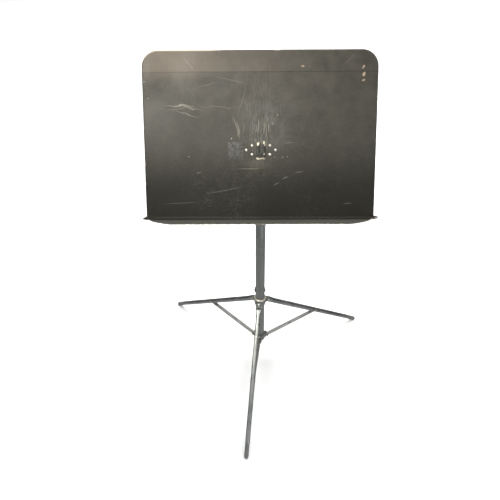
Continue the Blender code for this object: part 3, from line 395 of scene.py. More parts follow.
def rubbed_folds(shade, across, height):
    """Where the rolled edges and the rim are worn through, most of all along the top on the left."""
    crest = shade.attribute("fold")
    rub = shade.noise(90.0, 4.0, 0.65)
    on_left = shade.smooth(across, -0.110, -0.080, 1.0, 0.0)
    top_left = shade.times(shade.smooth(height, 0.195, 0.203), on_left)
    worn = shade.times(crest, shade.smooth(rub, 0.56, 0.66))
    worn = shade.most(worn, shade.times(shade.times(crest, top_left), shade.smooth(rub, 0.22, 0.36)))
    return shade.most(worn, shade.times(shade.attribute("rim"), shade.smooth(rub, 0.44, 0.60)))


def bare_metal(shade, grain, rag):
    """Bright ragged metal round the pad, and fainter nicks."""
    torn = shade.ragged(0.0040, 300.0)
    bare = shade.many("MAXIMUM", (patch(shade, *spot, 0.30, torn) for spot in BARE))
    bare = shade.times(bare, shade.smooth(grain, 0.36, 0.54, 0.05, 1.0))
    nicks = shade.many("MAXIMUM", (patch(shade, *nick, 0.0, 0.4, rag) for nick in NICKS))
    return shade.most(bare, shade.times(nicks, 0.55))


def desk_enamel():
    """Old dark enamel on steel: mottled, scratched, chipped at a corner and worn bare on its folds, with
    painted light and shade on its top strip, crease, dent, lower panel and shelf.
    """
    shade = Shade("desk_enamel_worn")
    across, depth, height = shade.axes(shade.coordinates)
    grain = shade.noise(420.0, 3.0, 0.7)
    stain = shade.noise(38.0, 3.0, 0.6)
    colour = enamel_ground(shade, grain, stain, height)
    colour = enamel_patches(shade, colour, stain)
    colour = painted_light_and_shade(shade, colour, across, depth, height)
    lines = scratches(shade)
    colour = shade.mix(shade.times(lines, 0.80), colour, SCRATCH)
    rag = shade.ragged(0.0044, 300.0)
    chips = shade.many("MAXIMUM", (patch(shade, *chip, 0.30, rag) for chip in CHIPS))
    colour = shade.mix(chips, colour, PRIMER)
    rubbed = rubbed_folds(shade, across, height)
    colour = shade.mix(rubbed, colour, RUBBED)
    bare = bare_metal(shade, grain, rag)
    colour = shade.mix(bare, colour, BARE_METAL)

    metal = shade.most(bare, shade.times(rubbed, 0.5))
    gloss = shade.smooth(shade.noise(16.0, 4.0, 0.6, 0.3), 0.30, 0.75, 0.46, 0.60)
    gloss = shade.plus(gloss, shade.times(lines, 0.10))
    gloss = shade.math("SUBTRACT", gloss, shade.times(bare, 0.18), True)
    normal = shade.bump(grain, 0.00006, 0.6)
    normal = shade.bump(shade.noise(150.0, 2.0), 0.00012, 0.6, normal)
    sheen = shade.smooth(height, -0.090, 0.040, 0.20, 0.44)
    return shade.surface(Base_Color=colour, Roughness=gloss, Metallic=shade.times(metal, 0.55),
                         Normal=normal, Specular_IOR_Level=sheen)


# Plated steel.

def scaled(colour, factor):
    """A colour made lighter or darker."""
    return tuple(factor * part for part in colour)


def plated_steel(name, dark, light, roughness, along=(1.0, 1.0, 1.0), wear=(0.20, 0.19, 0.17), marks=0.5):
    """Old plating: brushed one way, clouded, with nicks and dull specks.  along is the brushing's scale."""
    shade = Shade(name)
    brushed = shade.noise(1.0, 3.0, 0.6, 0.0, shade.placed(scale=along))
    cloud = shade.noise(24.0, 4.0, 0.6, 0.5)
    colour = shade.mix(shade.smooth(cloud, 0.32, 0.70), dark, light)
    colour = shade.mix(shade.smooth(brushed, 0.40, 0.75, 0.0, 0.35), colour, scaled(dark, 0.72))
    specks = shade.smooth(shade.cells(260.0, shade.ragged(0.004, 120.0)), 0.10, 0.30, 1.0, 0.0)
    specks = shade.times(specks, shade.smooth(shade.noise(30.0, 3.0), 0.50, 0.64))
    nicked = shade.placed(turn=(0.4, 0.7, 0.2), scale=(0.0009, 0.012, 0.006))
    nicks = shade.smooth(shade.noise(1.0, 2.0, 0.5, 0.2, nicked), 0.66, 0.71)
    colour = shade.mix(shade.times(specks, marks), colour, wear)
    colour = shade.mix(shade.times(nicks, 0.5 * marks), colour, scaled(light, 1.5))
    rough = shade.smooth(cloud, 0.25, 0.75, roughness - 0.07, roughness + 0.10)
    rough = shade.plus(rough, shade.times(specks, 0.22))
    rough = shade.plus(rough, shade.smooth(brushed, 0.35, 0.80, 0.0, 0.08), True)
    normal = shade.bump(brushed, 0.00003, 0.5)
    normal = shade.bump(shade.times(specks, -1.0), 0.00006, 0.6, normal)
    return shade.surface(Base_Color=colour, Roughness=rough, Metallic=0.95, Normal=normal)


def moulded(name, colour, worn, roughness, texture=900.0, marks=0.25):
    """Moulded plastic or rubber: a fine grain, handling wear and grime."""
    shade = Shade(name)
    grain = shade.noise(texture, 2.0, 0.6)
    grime = shade.noise(60.0, 4.0, 0.6, 0.4)
    mixed = shade.mix(shade.smooth(grime, 0.45, 0.75, 0.0, 0.6), colour, worn)
    scuffed = shade.placed(turn=(0.3, 0.5, 0.9), scale=(0.0005, 0.007, 0.004))
    scuff = shade.smooth(shade.noise(1.0, 2.0, 0.5, 0.3, scuffed), 0.64, 0.70)
    rubbed = tuple(min(1.0, part + 0.05) for part in scaled(worn, 2.4))
    mixed = shade.mix(shade.times(scuff, marks), mixed, rubbed)
    rough = shade.smooth(grime, 0.30, 0.75, roughness - 0.06, roughness + 0.10)
    normal = shade.bump(grain, 0.00008, 0.5)
    normal = shade.bump(scuff, 0.00003, 0.4, normal)
    return shade.surface(Base_Color=mixed, Roughness=rough, Normal=normal, Specular_IOR_Level=0.5)


# Meshes.

def in_scene(name, data):
    """A new object that holds the data."""
    item = bpy.data.objects.new(name, data)
    bpy.context.scene.collection.objects.link(item)
    return item


def piece(name, mesh, where, body, finish, nodes, sharp=35.0):
    """A finished piece that rides on its body and stands for its CAD nodes.  finish is (slot, material), and
    its slot is not used.
    """
    slot, material = finish
    mesh.materials.clear()
    mesh.materials.append(material)
    mesh.shade_smooth()
    mesh.set_sharp_from_angle(angle=math.radians(sharp))
    item = in_scene(name, mesh)
    item.matrix_world = where
    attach(item, body)
    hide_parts(*nodes)
    return item


def finished(bm, name):
    """Closes a bmesh into a mesh, welded and facing outwards."""
    bmesh.ops.remove_doubles(bm, verts=bm.verts, dist=1e-6)
    bmesh.ops.dissolve_degenerate(bm, edges=bm.edges, dist=1e-7)
    bmesh.ops.recalc_face_normals(bm, faces=bm.faces)
    mesh = bpy.data.meshes.new(name)
    bm.to_mesh(mesh)
    bm.free()
    return mesh


def lofted(name, rings, closed_ends=True, closed_path=False):
    """A skin over a row of closed rings of points."""
    bm = bmesh.new()
    lines = [[bm.verts.new(point) for point in ring] for ring in rings]
    pairs = list(zip(lines, lines[1:]))
    if closed_path:
        pairs.append((lines[-1], lines[0]))
    for first, second in pairs:
        for index in range(len(first)):
            after = (index + 1) % len(first)
            bm.faces.new((first[index], first[after], second[after], second[index]))
    if closed_ends and not closed_path:
        bm.faces.new(lines[0][::-1])
        bm.faces.new(lines[-1])
    return finished(bm, name)


def lathe(name, profile, steps=96, ring=False):
    """A solid turned about Z from (radius, height) points.  A ring's profile closes on itself."""
    rings = []
    for radius, height in profile:
        rings.append([(max(radius, 1e-7) * math.cos(2.0 * math.pi * index / steps),
                       max(radius, 1e-7) * math.sin(2.0 * math.pi * index / steps), height)
                      for index in range(steps)])
    return lofted(name, rings, closed_ends=not ring, closed_path=ring)


def turned(node, name, profile, where, body, finish, steps=96, ring=False, sharp=35.0):
    """A turned piece that stands for one CAD node."""
    return piece(name, lathe(name, profile, steps, ring), where, body, finish, [node], sharp)


def arc(centre, radius, start, end, count):
    """Points along an arc in degrees, with both ends."""
    points = []
    for index in range(count + 1):
        angle = math.radians(start + (end - start) * index / count)
        points.append((centre[0] + radius * math.cos(angle), centre[1] + radius * math.sin(angle)))
    return points


def eased(corners, radius, count=4):
    """A closed profile whose corners are eased with small arcs."""
    points = []
    for index, corner in enumerate(corners):
        here = Vector(corner)
        before = Vector(corners[index - 1]) - here
        after = Vector(corners[(index + 1) % len(corners)]) - here
        reach = min(radius, 0.4 * before.length, 0.4 * after.length)
        start = here + before.normalized() * reach
        end = here + after.normalized() * reach
        for step in range(count + 1):
            share = step / count
            bend = here * 2.0 * share * (1.0 - share)
            points.append(tuple(start * (1.0 - share) ** 2 + bend + end * share ** 2))
    return points


def extent(node, axis):
    """Lowest and highest place of a CAD node along an axis."""
    places = [vertex.co.dot(axis) for vertex in frame["nodes"][node].data.vertices]
    return min(places), max(places)


def axis_frame(origin, axis, toward=UP):
    """A frame at a point with Z along an axis and X as near as can be to another direction."""
    z_axis = Vector(axis).normalized()
    x_axis = (toward - z_axis * toward.dot(z_axis)).normalized()
    rotation = Matrix((x_axis, z_axis.cross(x_axis), z_axis)).transposed()
    return Matrix.Translation(origin) @ rotation.to_4x4()


def middle(node):
    """The middle of a CAD node's box."""
    low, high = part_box(node)
    return (low + high) / 2.0


def eased_copy(node, name, width, where):
    """The CAD node's own shape in flat faces, with its sharp edges eased."""
    sharp = math.radians(30.0)
    bm = bmesh.new()
    bm.from_mesh(frame["nodes"][node].data)
    bmesh.ops.remove_doubles(bm, verts=bm.verts, dist=1e-6)
    bmesh.ops.dissolve_limit(bm, angle_limit=math.radians(0.5), verts=bm.verts, edges=bm.edges)
    bm.transform(where.inverted())
    edges = [edge for edge in bm.edges if edge.is_manifold and edge.calc_face_angle() > sharp]
    bmesh.ops.bevel(bm, geom=edges, offset=width, offset_type="OFFSET", segments=2, profile=0.5,
                    affect="EDGES", clamp_overlap=True)
    bmesh.ops.triangulate(bm, faces=[face for face in bm.faces if len(face.verts) > 4])
    mesh = finished(bm, name)
    for extra in ("custom_normal", "sharp_face", "sharp_edge"):
        if extra in mesh.attributes:
            mesh.attributes.remove(mesh.attributes[extra])
    return mesh


def eased_piece(node, name, width, body, finish, where=Matrix.Identity(4)):
    """The CAD node's own shape, eased, as a piece."""
    return piece(name, eased_copy(node, name, width, where), where, body, finish, [node])


# Desk sheet.

def rise_share(value, low, high):
    """How far a value has come from low to high, from 0 to 1."""
    return min(max((value - low) / (high - low), 0.0), 1.0)


def step_up(value, low, high):
    """A smooth step from 0 at low to 1 at high."""
    share = rise_share(value, low, high)
    return share * share * (3.0 - 2.0 * share)


def flat_half_at(height):
    """Half the flat width between the side rolls: the sides draw in a little towards the top."""
    return DESK_WIDTH / 2.0 - ROLL_RADIUS + SIDE_TAPER * (1.0 - 2.0 * height / DESK_HEIGHT)


def strip_share(height):
    """Share of the edge strip's full length: cut back above the bend, where the roll begins."""
    cut = rise_share(height, 0.0, BEND_RADIUS)
    regained = rise_share(height, BEND_RADIUS, ROLL_NOTCH_TOP)
    return 1.0 - (1.0 - ROLL_AT_NOTCH) * cut * (1.0 - regained)


def side_roll_angle(height):
    """How far the side edge is rolled back at a height: fully on the side, opening out to nothing."""
    return math.radians(90.0) * rise_share(height, ROLL_STARTS, ROLL_IS_FULL) ** 0.8


def rolled(distance, angle):
    """A point on the edge strip: how far outwards and how far back it lies."""
    straight = distance - ROLL_RADIUS * angle
    if straight <= 0.0:
        turn = distance / ROLL_RADIUS
        return ROLL_RADIUS * math.sin(turn), ROLL_RADIUS * (1.0 - math.cos(turn))
    outwards = ROLL_RADIUS * math.sin(angle) + straight * math.cos(angle)
    back = ROLL_RADIUS * (1.0 - math.cos(angle)) + straight * math.sin(angle)
    return outwards, back


def shelf_half_width(depth):
    """Half the shelf's width at a depth in front of the bend: a thin ear, then a long round corner."""
    full = flat_half_at(0.0) + ROLL_LENGTH
    side = full - EAR_REACH
    fraction = rise_share(depth, 0.0, SHELF_DEPTH)
    ear = EAR_REACH * max(1.0 - depth / EAR_DEPTH, 0.0) ** 1.5
    return SHELF_FRONT_HALF + (side - SHELF_FRONT_HALF) * (1.0 - fraction ** 1.3) ** 0.8 + ear


def sheet_row(forward, up, flat, strip=1.0, angle=0.0, corner=0.0, depth=0.0, fold=0.0):
    """One row across the sheet: its place, its flat half width, and how its edge strips run."""
    return {"forward": forward, "up": up, "flat": flat, "strip": strip, "angle": angle, "corner": corner,
            "depth": depth, "fold": fold}


def shelf_rows():
    """Rows of the shelf, from its front edge to the bend."""
    flat_half = flat_half_at(0.0)
    full = flat_half + ROLL_LENGTH
    rows = []
    steps = 26
    for index in range(steps):
        fraction = 1.0 - (index / steps) ** 1.6 * 0.86
        depth = SHELF_DEPTH * fraction
        share = shelf_half_width(depth) / full
        forward = depth * math.cos(SHELF_DROOP)
        drop = depth * math.sin(SHELF_DROOP)
        rows.append(sheet_row(forward, -drop, flat_half * share, strip=share, depth=depth))
    turn = math.radians(90.0) - SHELF_DROOP
    setback = BEND_RADIUS * math.tan(turn / 2.0)
    bend_steps = 12
    for index in range(bend_steps + 1):
        angle = turn * (1.0 - index / bend_steps)
        forward = BEND_RADIUS * (1.0 - math.cos(angle))
        height = setback - BEND_RADIUS * math.sin(angle)
        rows.append(sheet_row(forward, height, flat_half_at(height), strip=strip_share(height),
                              angle=side_roll_angle(height), depth=forward))
    return rows


def spread(start, end, pitch):
    """Evenly spaced places from start to end, without the end."""
    count = max(1, round((end - start) / pitch))
    return [start + (end - start) * index / count for index in range(count)]


def panel_rows():
    """Rows of the panel above the bend, close together at the pad, the dent and the crease."""
    corner = CORNER_RADIUS - ROLL_RADIUS
    flat_top = DESK_HEIGHT - ROLL_RADIUS
    pad_low = PAD_Z - PAD_HALF_HEIGHT - 0.002
    pad_high = PAD_Z + PAD_HALF_HEIGHT + 0.002
    # Each band's start and the pitch of its rows.
    bands = [(0.0065, 0.0009), (0.012, 0.0022), (0.034, 0.008), (DENT_Z - 0.010, 0.0012),
             (DENT_Z + 0.010, 0.005), (pad_low, 0.0011), (pad_high, 0.008), (CREASE_HEIGHT - 0.008, 0.002),
             (CREASE_HEIGHT + 0.008, 0.003)]
    ends = [start for start, _ in bands[1:]] + [flat_top - corner]
    heights = []
    for (start, pitch), end in zip(bands, ends):
        heights += spread(start, end, pitch)
    rows = [sheet_row(0.0, height, flat_half_at(height), strip=strip_share(height),
                      angle=side_roll_angle(height)) for height in heights]
    flat_half = flat_half_at(flat_top - corner)
    corner_steps = 22
    for index in range(corner_steps + 1):
        turn = math.radians(90.0) * index / corner_steps
        rows.append(sheet_row(0.0, flat_top - corner + corner * math.sin(turn),
                              flat_half - corner + corner * math.cos(turn),
                              angle=math.radians(90.0), corner=turn))
    return rows


def sheet_columns():
    """Places across the sheet as shares of its half width, close together at the pad."""
    flat_half = DESK_WIDTH / 2.0 - ROLL_RADIUS
    reach = PAD_HALF_WIDTH + 0.002
    places = spread(-flat_half, PAD_X - reach, 0.007) + spread(PAD_X - reach, PAD_X + reach, 0.0011)
    places += spread(PAD_X + reach, flat_half, 0.007) + [flat_half]
    return [place / flat_half for place in places]


def pressed(x, height):
    """How far the panel's face stands forward: the pad, the dent and the sheet's slight waves."""
    across = step_up(PAD_HALF_WIDTH - abs(x - PAD_X), 0.0, PAD_SLOPE)
    upright = step_up(PAD_HALF_HEIGHT - abs(height - PAD_Z), 0.0, PAD_SLOPE)
    hollow = 0.0006 * step_up(0.006 - math.hypot((x - PAD_X) * 1.2, height - PAD_Z), 0.0, 0.004)
    pad = PAD_RISE * across * upright - hollow
    dent = DENT_DEPTH * math.exp(-((x - DENT_X) ** 2 + (height - DENT_Z) ** 2) / (0.5 * DENT_RADIUS ** 2))
    buckle = 0.0005 * step_up(height, DENT_Z - 0.004, DENT_Z + 0.012) * math.exp(-((x + 0.02) / 0.035) ** 2)
    buckle *= 1.0 - step_up(height, DENT_Z + 0.012, PAD_Z - PAD_HALF_HEIGHT)
    away = step_up(math.hypot(x, (height - PAD_Z) * 1.6), 0.045, 0.120)
    inside = step_up(height, 0.020, 0.070) * (1.0 - step_up(abs(x), 0.170, 0.245))
    waves = 0.0006 * math.sin(x * 21.0 + 0.7) * math.sin(height * 17.0 + 0.4)
    waves += 0.0004 * math.sin(x * 9.0 - 1.1 + height * 12.0)
    return pad - dent + buckle + waves * away * inside


def crease_back(height):
    """How far the strip above the crease leans back, with a softened fold."""
    above = height - CREASE_HEIGHT
    if above < -CREASE_BLEND:
        return 0.0
    if above < CREASE_BLEND:
        return math.tan(CREASE_ANGLE) * (above + CREASE_BLEND) ** 2 / (4.0 * CREASE_BLEND)
    return math.tan(CREASE_ANGLE) * above


def sheet_point(row, x, outwards=0.0, back=0.0, side=0):
    """A point of the sheet's front face in the desk's frame."""
    height = row["up"] + outwards * math.sin(row["corner"])
    rise = 0.0
    if side and row["depth"] > 0.0:
        near_bend = max(1.0 - row["depth"] / 0.020, 0.0) * max(1.0 - row["angle"] / math.radians(45.0), 0.0)
        rise = TIP_RISE[side] * near_bend * (outwards / ROLL_LENGTH) ** 2
    y = -PIVOT_TO_SHEET - row["forward"] + back + crease_back(height)
    if not side and row["forward"] == 0.0:
        y -= pressed(x, height)
    return DESK_SHIFT + x + side * outwards * math.cos(row["corner"]), y, height + rise - PIVOT_UP_SHEET


def stitch(bm, lines):
    """Faces between each line of vertices and the next."""
    for first, second in zip(lines, lines[1:]):
        for index in range(1, len(first)):
            bm.faces.new((first[index - 1], second[index - 1], second[index], first[index]))


class Sheet:
    """The sheet's front face as it grows, with how near each point is to a fold's crest and to the rim."""

    def __init__(self):
        self.bm = bmesh.new()
        self.fold = self.bm.verts.layers.float.new("fold")
        self.rim = self.bm.verts.layers.float.new("rim")

    def point(self, place, fold, rim):
        vertex = self.bm.verts.new(place)
        vertex[self.fold] = fold
        vertex[self.rim] = rim
        return vertex

    def strip_point(self, row, x, distance, side):
        """A point on an edge strip, at its distance out from the flat."""
        reach = distance * row["strip"]
        crest = ROLL_RADIUS * FOLD_CREST
        fold = 0.0
        if row["angle"] > 0.5:
            fold = math.exp(-((distance - crest) / FOLD_WIDTH) ** 2)
        rim = step_up(distance, ROLL_LENGTH - RIM_WIDTH, ROLL_LENGTH)
        return self.point(sheet_point(row, x, *rolled(reach, row["angle"]), side), fold, rim)


def desk_sheet_mesh():
    """The front face of the whole sheet: a flat grid, its edge strips rolled back, and the shelf."""
    rows = shelf_rows() + panel_rows()
    columns = sheet_columns()
    strip = [ROLL_LENGTH * (index + 1) / STRIP_STEPS for index in range(STRIP_STEPS)]
    sheet = Sheet()
    flat = []
    for row in rows:
        front = step_up(row["depth"], SHELF_DEPTH - RIM_WIDTH, SHELF_DEPTH)
        flat.append([sheet.point(sheet_point(row, row["flat"] * column), 0.0, front) for column in columns])
    last = rows[-1]
    top = []
    for column, vertex in zip(columns, flat[-1]):
        x = last["flat"] * column
        top.append([vertex] + [sheet.strip_point(last, x, distance, 0) for distance in strip])
    stitch(sheet.bm, flat)
    stitch(sheet.bm, top)
    for side, edge in ((-1, 0), (1, -1)):
        lines = []
        for row, line in zip(rows[:-1], flat):
            x = side * row["flat"]
            lines.append([line[edge]] + [sheet.strip_point(row, x, distance, side) for distance in strip])
        stitch(sheet.bm, lines + [top[edge]])
    mesh = finished(sheet.bm, "desk_sheet")
    if mesh.polygons[0].normal.z < 0.0:
        mesh.flip_normals()
    return mesh


def thicken(item, thickness):
    """Gives an open skin its gauge, inwards from its face, with eased rims."""
    wall = item.modifiers.new("gauge", "SOLIDIFY")
    wall.thickness = thickness
    wall.offset = -1.0
    wall.use_even_offset = True
    rim = item.modifiers.new("rim", "BEVEL")
    rim.width = thickness * 0.22
    rim.segments = 2
    rim.limit_method = "ANGLE"
    rim.angle_limit = math.radians(60.0)


def build_desk(enamel, bright, dull):
    """The formed sheet, its hinge bracket and its rivets."""
    pivot = Vector(joints["desk_tilt"]["pos_m"])
    desk_frame = Matrix.Translation(pivot) @ Matrix.Rotation(-DESK_LEAN, 4, "X")
    sheet = piece("desk_sheet", desk_sheet_mesh(), desk_frame, "desk", enamel, ["desk_panel"], 50.0)
    thicken(sheet, DESK_GAUGE)
    eased_piece("desk_bracket", "desk_hinge_bracket", 0.0004, "desk", dull, desk_frame)
    normal = desk_frame.to_3x3() @ Vector((0.0, 1.0, 0.0))
    for index in range(1, 7):
        rivet(f"desk_rivet_{index}", f"desk_rivet_head_{index}", normal, RIVET_HEAD_RADIUS, RIVET_HEAD_HEIGHT,
              "desk", bright)


# Rivets and pins.

def rivet(node, name, axis, head_radius, head_height, body, finish):
    """A pin with two domed heads along an axis, as long as its CAD node."""
    low, high = extent(node, axis)
    half = (high - low) / 2.0
    shank = head_radius * 0.56
    dome = [(head_radius * math.sin(math.radians(angle)), head_height * math.cos(math.radians(angle)))
            for angle in (0, 12, 24, 36, 48, 60, 72, 84, 90)]
    profile = [(radius, half - head_height + rise) for radius, rise in dome]
    profile += [(shank, half - head_height), (shank, head_height - half)]
    profile += [(radius, head_height - half - rise) for radius, rise in reversed(dome)]
    where = axis_frame(middle(node), axis, Vector((0.1, 0.2, 1.0)))
    return turned(node, name, profile, where, body, finish, steps=40, sharp=40.0)


# Column.

def column_piece(node, name, profile, body, finish, sharp=35.0):
    """A ring turned about the column's axis, whose profile is (radius, height)."""
    centre = middle(node)
    where = Matrix.Translation((centre.x, centre.y, 0.0))
    return turned(node, name, profile, where, body, finish, ring=True, sharp=sharp)


def tube(node, name, body, finish):
    """A plain tube with eased ends.  Gives its outer radius and its top."""
    low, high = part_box(node)
    radius = (high.x - low.x) / 2.0
    bore = radius - TUBE_WALL
    corners = [(bore, high.z), (radius, high.z), (radius, low.z), (bore, low.z)]
    column_piece(node, name, eased(corners, 0.0005), body, finish)
    return radius, high.z


def build_column(dull, bright, bright_tube, black):
    """Both tubes, the clutch and the hub's ring."""
    radius, tube_top = tube("outer_tube", "lower_tube", "column", dull)
    inner, _ = tube("inner_tube", "upper_tube", "mast", bright_tube)
    build_clutch(radius, inner, tube_top, dull, black)
    low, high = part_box("hub_ring")
    roll = (high.z - low.z) / 2.0
    centre = ((high.x - low.x) / 2.0 - roll, (high.z + low.z) / 2.0)
    bore = radius + GAP
    section = [(bore, centre[1] + roll - 0.0008)] + arc(centre, roll, 90.0, -90.0, 20) + [(bore, low.z)]
    column_piece("hub_ring", "hub_rolled_ring", section, "hub", bright, 50.0)


def build_clutch(radius, inner, tube_top, dull, black):
    """The clutch housing with its turned grooves, and the wiper cap."""
    low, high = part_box("clutch_housing")
    outer = (high.x - low.x) / 2.0
    mouth = inner + WIPER_GAP
    groove = outer - GROOVE_DEPTH
    grooves = []
    for height in (high.z - 0.012, high.z - 0.016, low.z + 0.016, low.z + 0.012):
        grooves += [(outer, height + 0.0007), (groove, height + 0.0003), (groove, height - 0.0003),
                    (outer, height - 0.0007)]
    corners = [(mouth, high.z), (outer - 0.0015, high.z), (outer, high.z - 0.0015), *grooves,
               (outer, low.z + 0.004), (outer - 0.0012, low.z), (radius + GAP, low.z),
               (radius + GAP, tube_top + 0.001), (radius - 0.0001, tube_top + 0.001),
               (radius - 0.0001, high.z - 0.010), (mouth, high.z - 0.010)]
    column_piece("clutch_housing", "clutch_body", eased(corners, 0.0004), "column", dull)
    low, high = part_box("clutch_cap")
    outer = (high.x - low.x) / 2.0
    corners = [(mouth, high.z), (outer - 0.002, high.z), (outer, high.z - 0.0015), (outer, low.z),
               (mouth, low.z)]
    column_piece("clutch_cap", "clutch_wiper", eased(corners, 0.0006), "column", black)


# Knobs.

def flute(angle, count):
    """How deep the grip's edge is scooped at an angle: 1 in the middle of a flute."""
    away = abs((angle * count / (2.0 * math.pi)) % 1.0 - 0.5)
    return max(0.0, 1.0 - (away / 0.22) ** 2)


def knob_mesh(name, radius, depth, bore, flutes):
    """A round grip knob along Z from its front at Z = 0, with scooped flutes and a dished end."""
    lip = 0.0022
    profile = [(bore, 0.0, 0.0), (radius * 0.78, 0.0, 0.0)]
    profile += [(x, z, 1.0) for x, z in arc((radius - lip, lip), lip, -90.0, 0.0, 5)]
    profile += [(x, z, 1.0) for x, z in arc((radius - lip, depth - lip - 0.0006), lip, 0.0, 78.0, 5)]
    dish = depth - 0.0014
    boss = depth - 0.0004
    profile += [(radius * 0.62, depth, 0.0), (radius * 0.52, depth, 0.0), (radius * 0.46, dish, 0.0),
                (radius * 0.30, dish, 0.0), (radius * 0.27, boss, 0.0), (bore, boss, 0.0)]
    steps = flutes * 24
    rings = []
    for reach, height, scooped in profile:
        ring = []
        for index in range(steps):
            angle = 2.0 * math.pi * index / steps
            scoop = 1.0 - 0.10 * scooped * flute(angle, flutes)
            ring.append((reach * scoop * math.cos(angle), reach * scoop * math.sin(angle), height))
        rings.append(ring)
    return lofted(name, rings, closed_path=True)


def axle_frame(node, joint, axis):
    """A frame on a joint's axle at the node's near end, and the node's length."""
    low, high = extent(node, axis)
    place = Vector(joints[joint]["pos_m"])
    return axis_frame(place + axis * (low - place.dot(axis)), axis), high - low


def grip(node, name, joint, axis, bore, flutes, body, finish):
    """A fluted knob on its axle."""
    where, depth = axle_frame(node, joint, axis)
    low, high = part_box(node)
    mesh = knob_mesh(name, (high.z - low.z) / 2.0, depth, bore, flutes)
    return piece(name, mesh, where, body, finish, [node], 40.0)


def build_knobs(black, bright):
    """The lock knob behind the hub with its screw, and the tilt knob with its bolt."""
    back = Vector((0.0, 1.0, 0.0))
    grip("lock_knob", "lock_grip", "lock_knob_turn", back, 0.0028, 7, "lock", black)
    where, length = axle_frame("lock_screw", "lock_knob_turn", back)
    screw = [(0.0, length), (0.0018, length), (0.0025, length - 0.0006), (0.0025, 0.0012), (0.0016, 0.0),
             (0.0, 0.0)]
    turned("lock_screw", "lock_screw_shank", threaded(screw, 0.004), where, "lock", bright, 32, sharp=50.0)

    right = Vector((1.0, 0.0, 0.0))
    grip("tilt_knob", "tilt_grip", "desk_tilt", right, 0.0033, 6, "tilt_knob", black)
    where, length = axle_frame("tilt_bolt", "desk_tilt", right)
    head = 0.0042
    bolt = [(0.0, length), (0.0024, length), (0.0030, length - 0.0006), (0.0030, head), (0.0052, head)]
    bolt += arc((0.0028, head - 0.0026), 0.0026, 60.0, 0.0, 3)
    bolt += arc((0.0, 0.0056), 0.0056, -25.0, -90.0, 8)
    turned("tilt_bolt", "tilt_bolt_shank", bolt, where, "desk", bright, 48, sharp=40.0)


def threaded(profile, start):
    """The profile with shallow grooves along its longest straight, in place of a thread."""
    top = profile[2][1]
    radius = profile[2][0]
    pitch = 0.0008
    ridges = []
    height = top - pitch
    while height > start + top * 0.45:
        ridges += [(radius, height), (radius - 0.00028, height - pitch / 2.0)]
        height -= pitch
    return profile[:3] + ridges + profile[3:]


# Legs and stays.

def channel_mesh(name, stations, half_width):
    """The outer skin of a channel along X, over stations of (x, low, top, shoulder radius, has a top)."""
    bm = bmesh.new()
    lines = []
    arc_steps = 8
    for x, low, top, shoulder, _ in stations:
        shoulder = min(shoulder, half_width * 0.8, max((top - low) * 0.9, 1e-6))
        side = [(half_width, low + (top - shoulder - low) * share) for share in (0.0, 0.12, 0.4, 0.7)]
        bend = arc((half_width - shoulder, top - shoulder), shoulder, 0.0, 90.0, arc_steps)
        half = side + bend + [((half_width - shoulder) * 0.5, top)]
        outline = half + [(0.0, top)] + [(-z, y) for z, y in reversed(half)]
        lines.append([bm.verts.new((x, y, z)) for z, y in outline])
    count = len(lines[0])
    web_start = 4 + arc_steps
    for station, first, second in zip(stations, lines, lines[1:]):
        for index in range(1, count):
            in_web = web_start < index < count - web_start
            if in_web and not station[4]:
                continue
            bm.faces.new((first[index - 1], first[index], second[index], second[index - 1]))
    mesh = finished(bm, name)
    if max(mesh.polygons, key=lambda face: face.center.y).normal.y < 0.0:
        mesh.flip_normals()
    return mesh


def channel(node, name, stations, half_width, gauge, where, finish):
    """A pressed channel.  It rides on the body that has its node's name."""
    item = piece(name, channel_mesh(name, stations, half_width), where, node, finish, [node], 40.0)
    thicken(item, gauge)


def leg_stations(length):
    """A leg from its round, open end at the hub pin to the foot cap, with dressed shoulders."""
    end = length - FOOT_CAP_LENGTH
    round_end = -LEG_LOW_AT_HUB
    stations = []
    for angle in (180.0, 168.0, 156.0, 144.0, 132.0, 120.0, 108.0, 96.0):
        x = round_end * math.cos(math.radians(angle))
        reach = round_end * math.sin(math.radians(angle))
        stations.append((x, -reach, min(reach, LEG_TOP), 0.0004, False))
    places = [0.003, 0.006, LEG_WEB_START, 0.0095, 0.011, 0.014, 0.018, 0.023, 0.028]
    places += spread(0.036, end, 0.012) + [end]
    for x in places:
        low = LEG_LOW_AT_HUB + (LEG_LOW_AT_FOOT - LEG_LOW_AT_HUB) * x / end
        shoulder = 0.0004 + (LEG_SHOULDER - 0.0004) * step_up(x, LEG_WEB_START, 0.028)
        stations.append((x, low, LEG_TOP, shoulder, x >= LEG_WEB_START))
    return stations


def stay_stations(length):
    """A stay, round at both ends below its flat top."""
    radius = -STAY_LOW
    ends = []
    for angle in (180.0, 165.0, 150.0, 135.0, 120.0, 105.0):
        x = radius * math.cos(math.radians(angle))
        reach = radius * math.sin(math.radians(angle))
        ends.append((x, -reach, min(reach, STAY_TOP), STAY_SHOULDER if reach > STAY_TOP else 0.0004, True))
    body = [(x, STAY_LOW, STAY_TOP, STAY_SHOULDER, True) for x in spread(0.0, length, 0.012) + [length]]
    far = [(length - x, *rest) for x, *rest in reversed(ends)]
    return ends + body + far


def mirrored(half):
    """A whole outline from its right half of (across, up) points."""
    return half + [(-z, y) for z, y in reversed(half)]


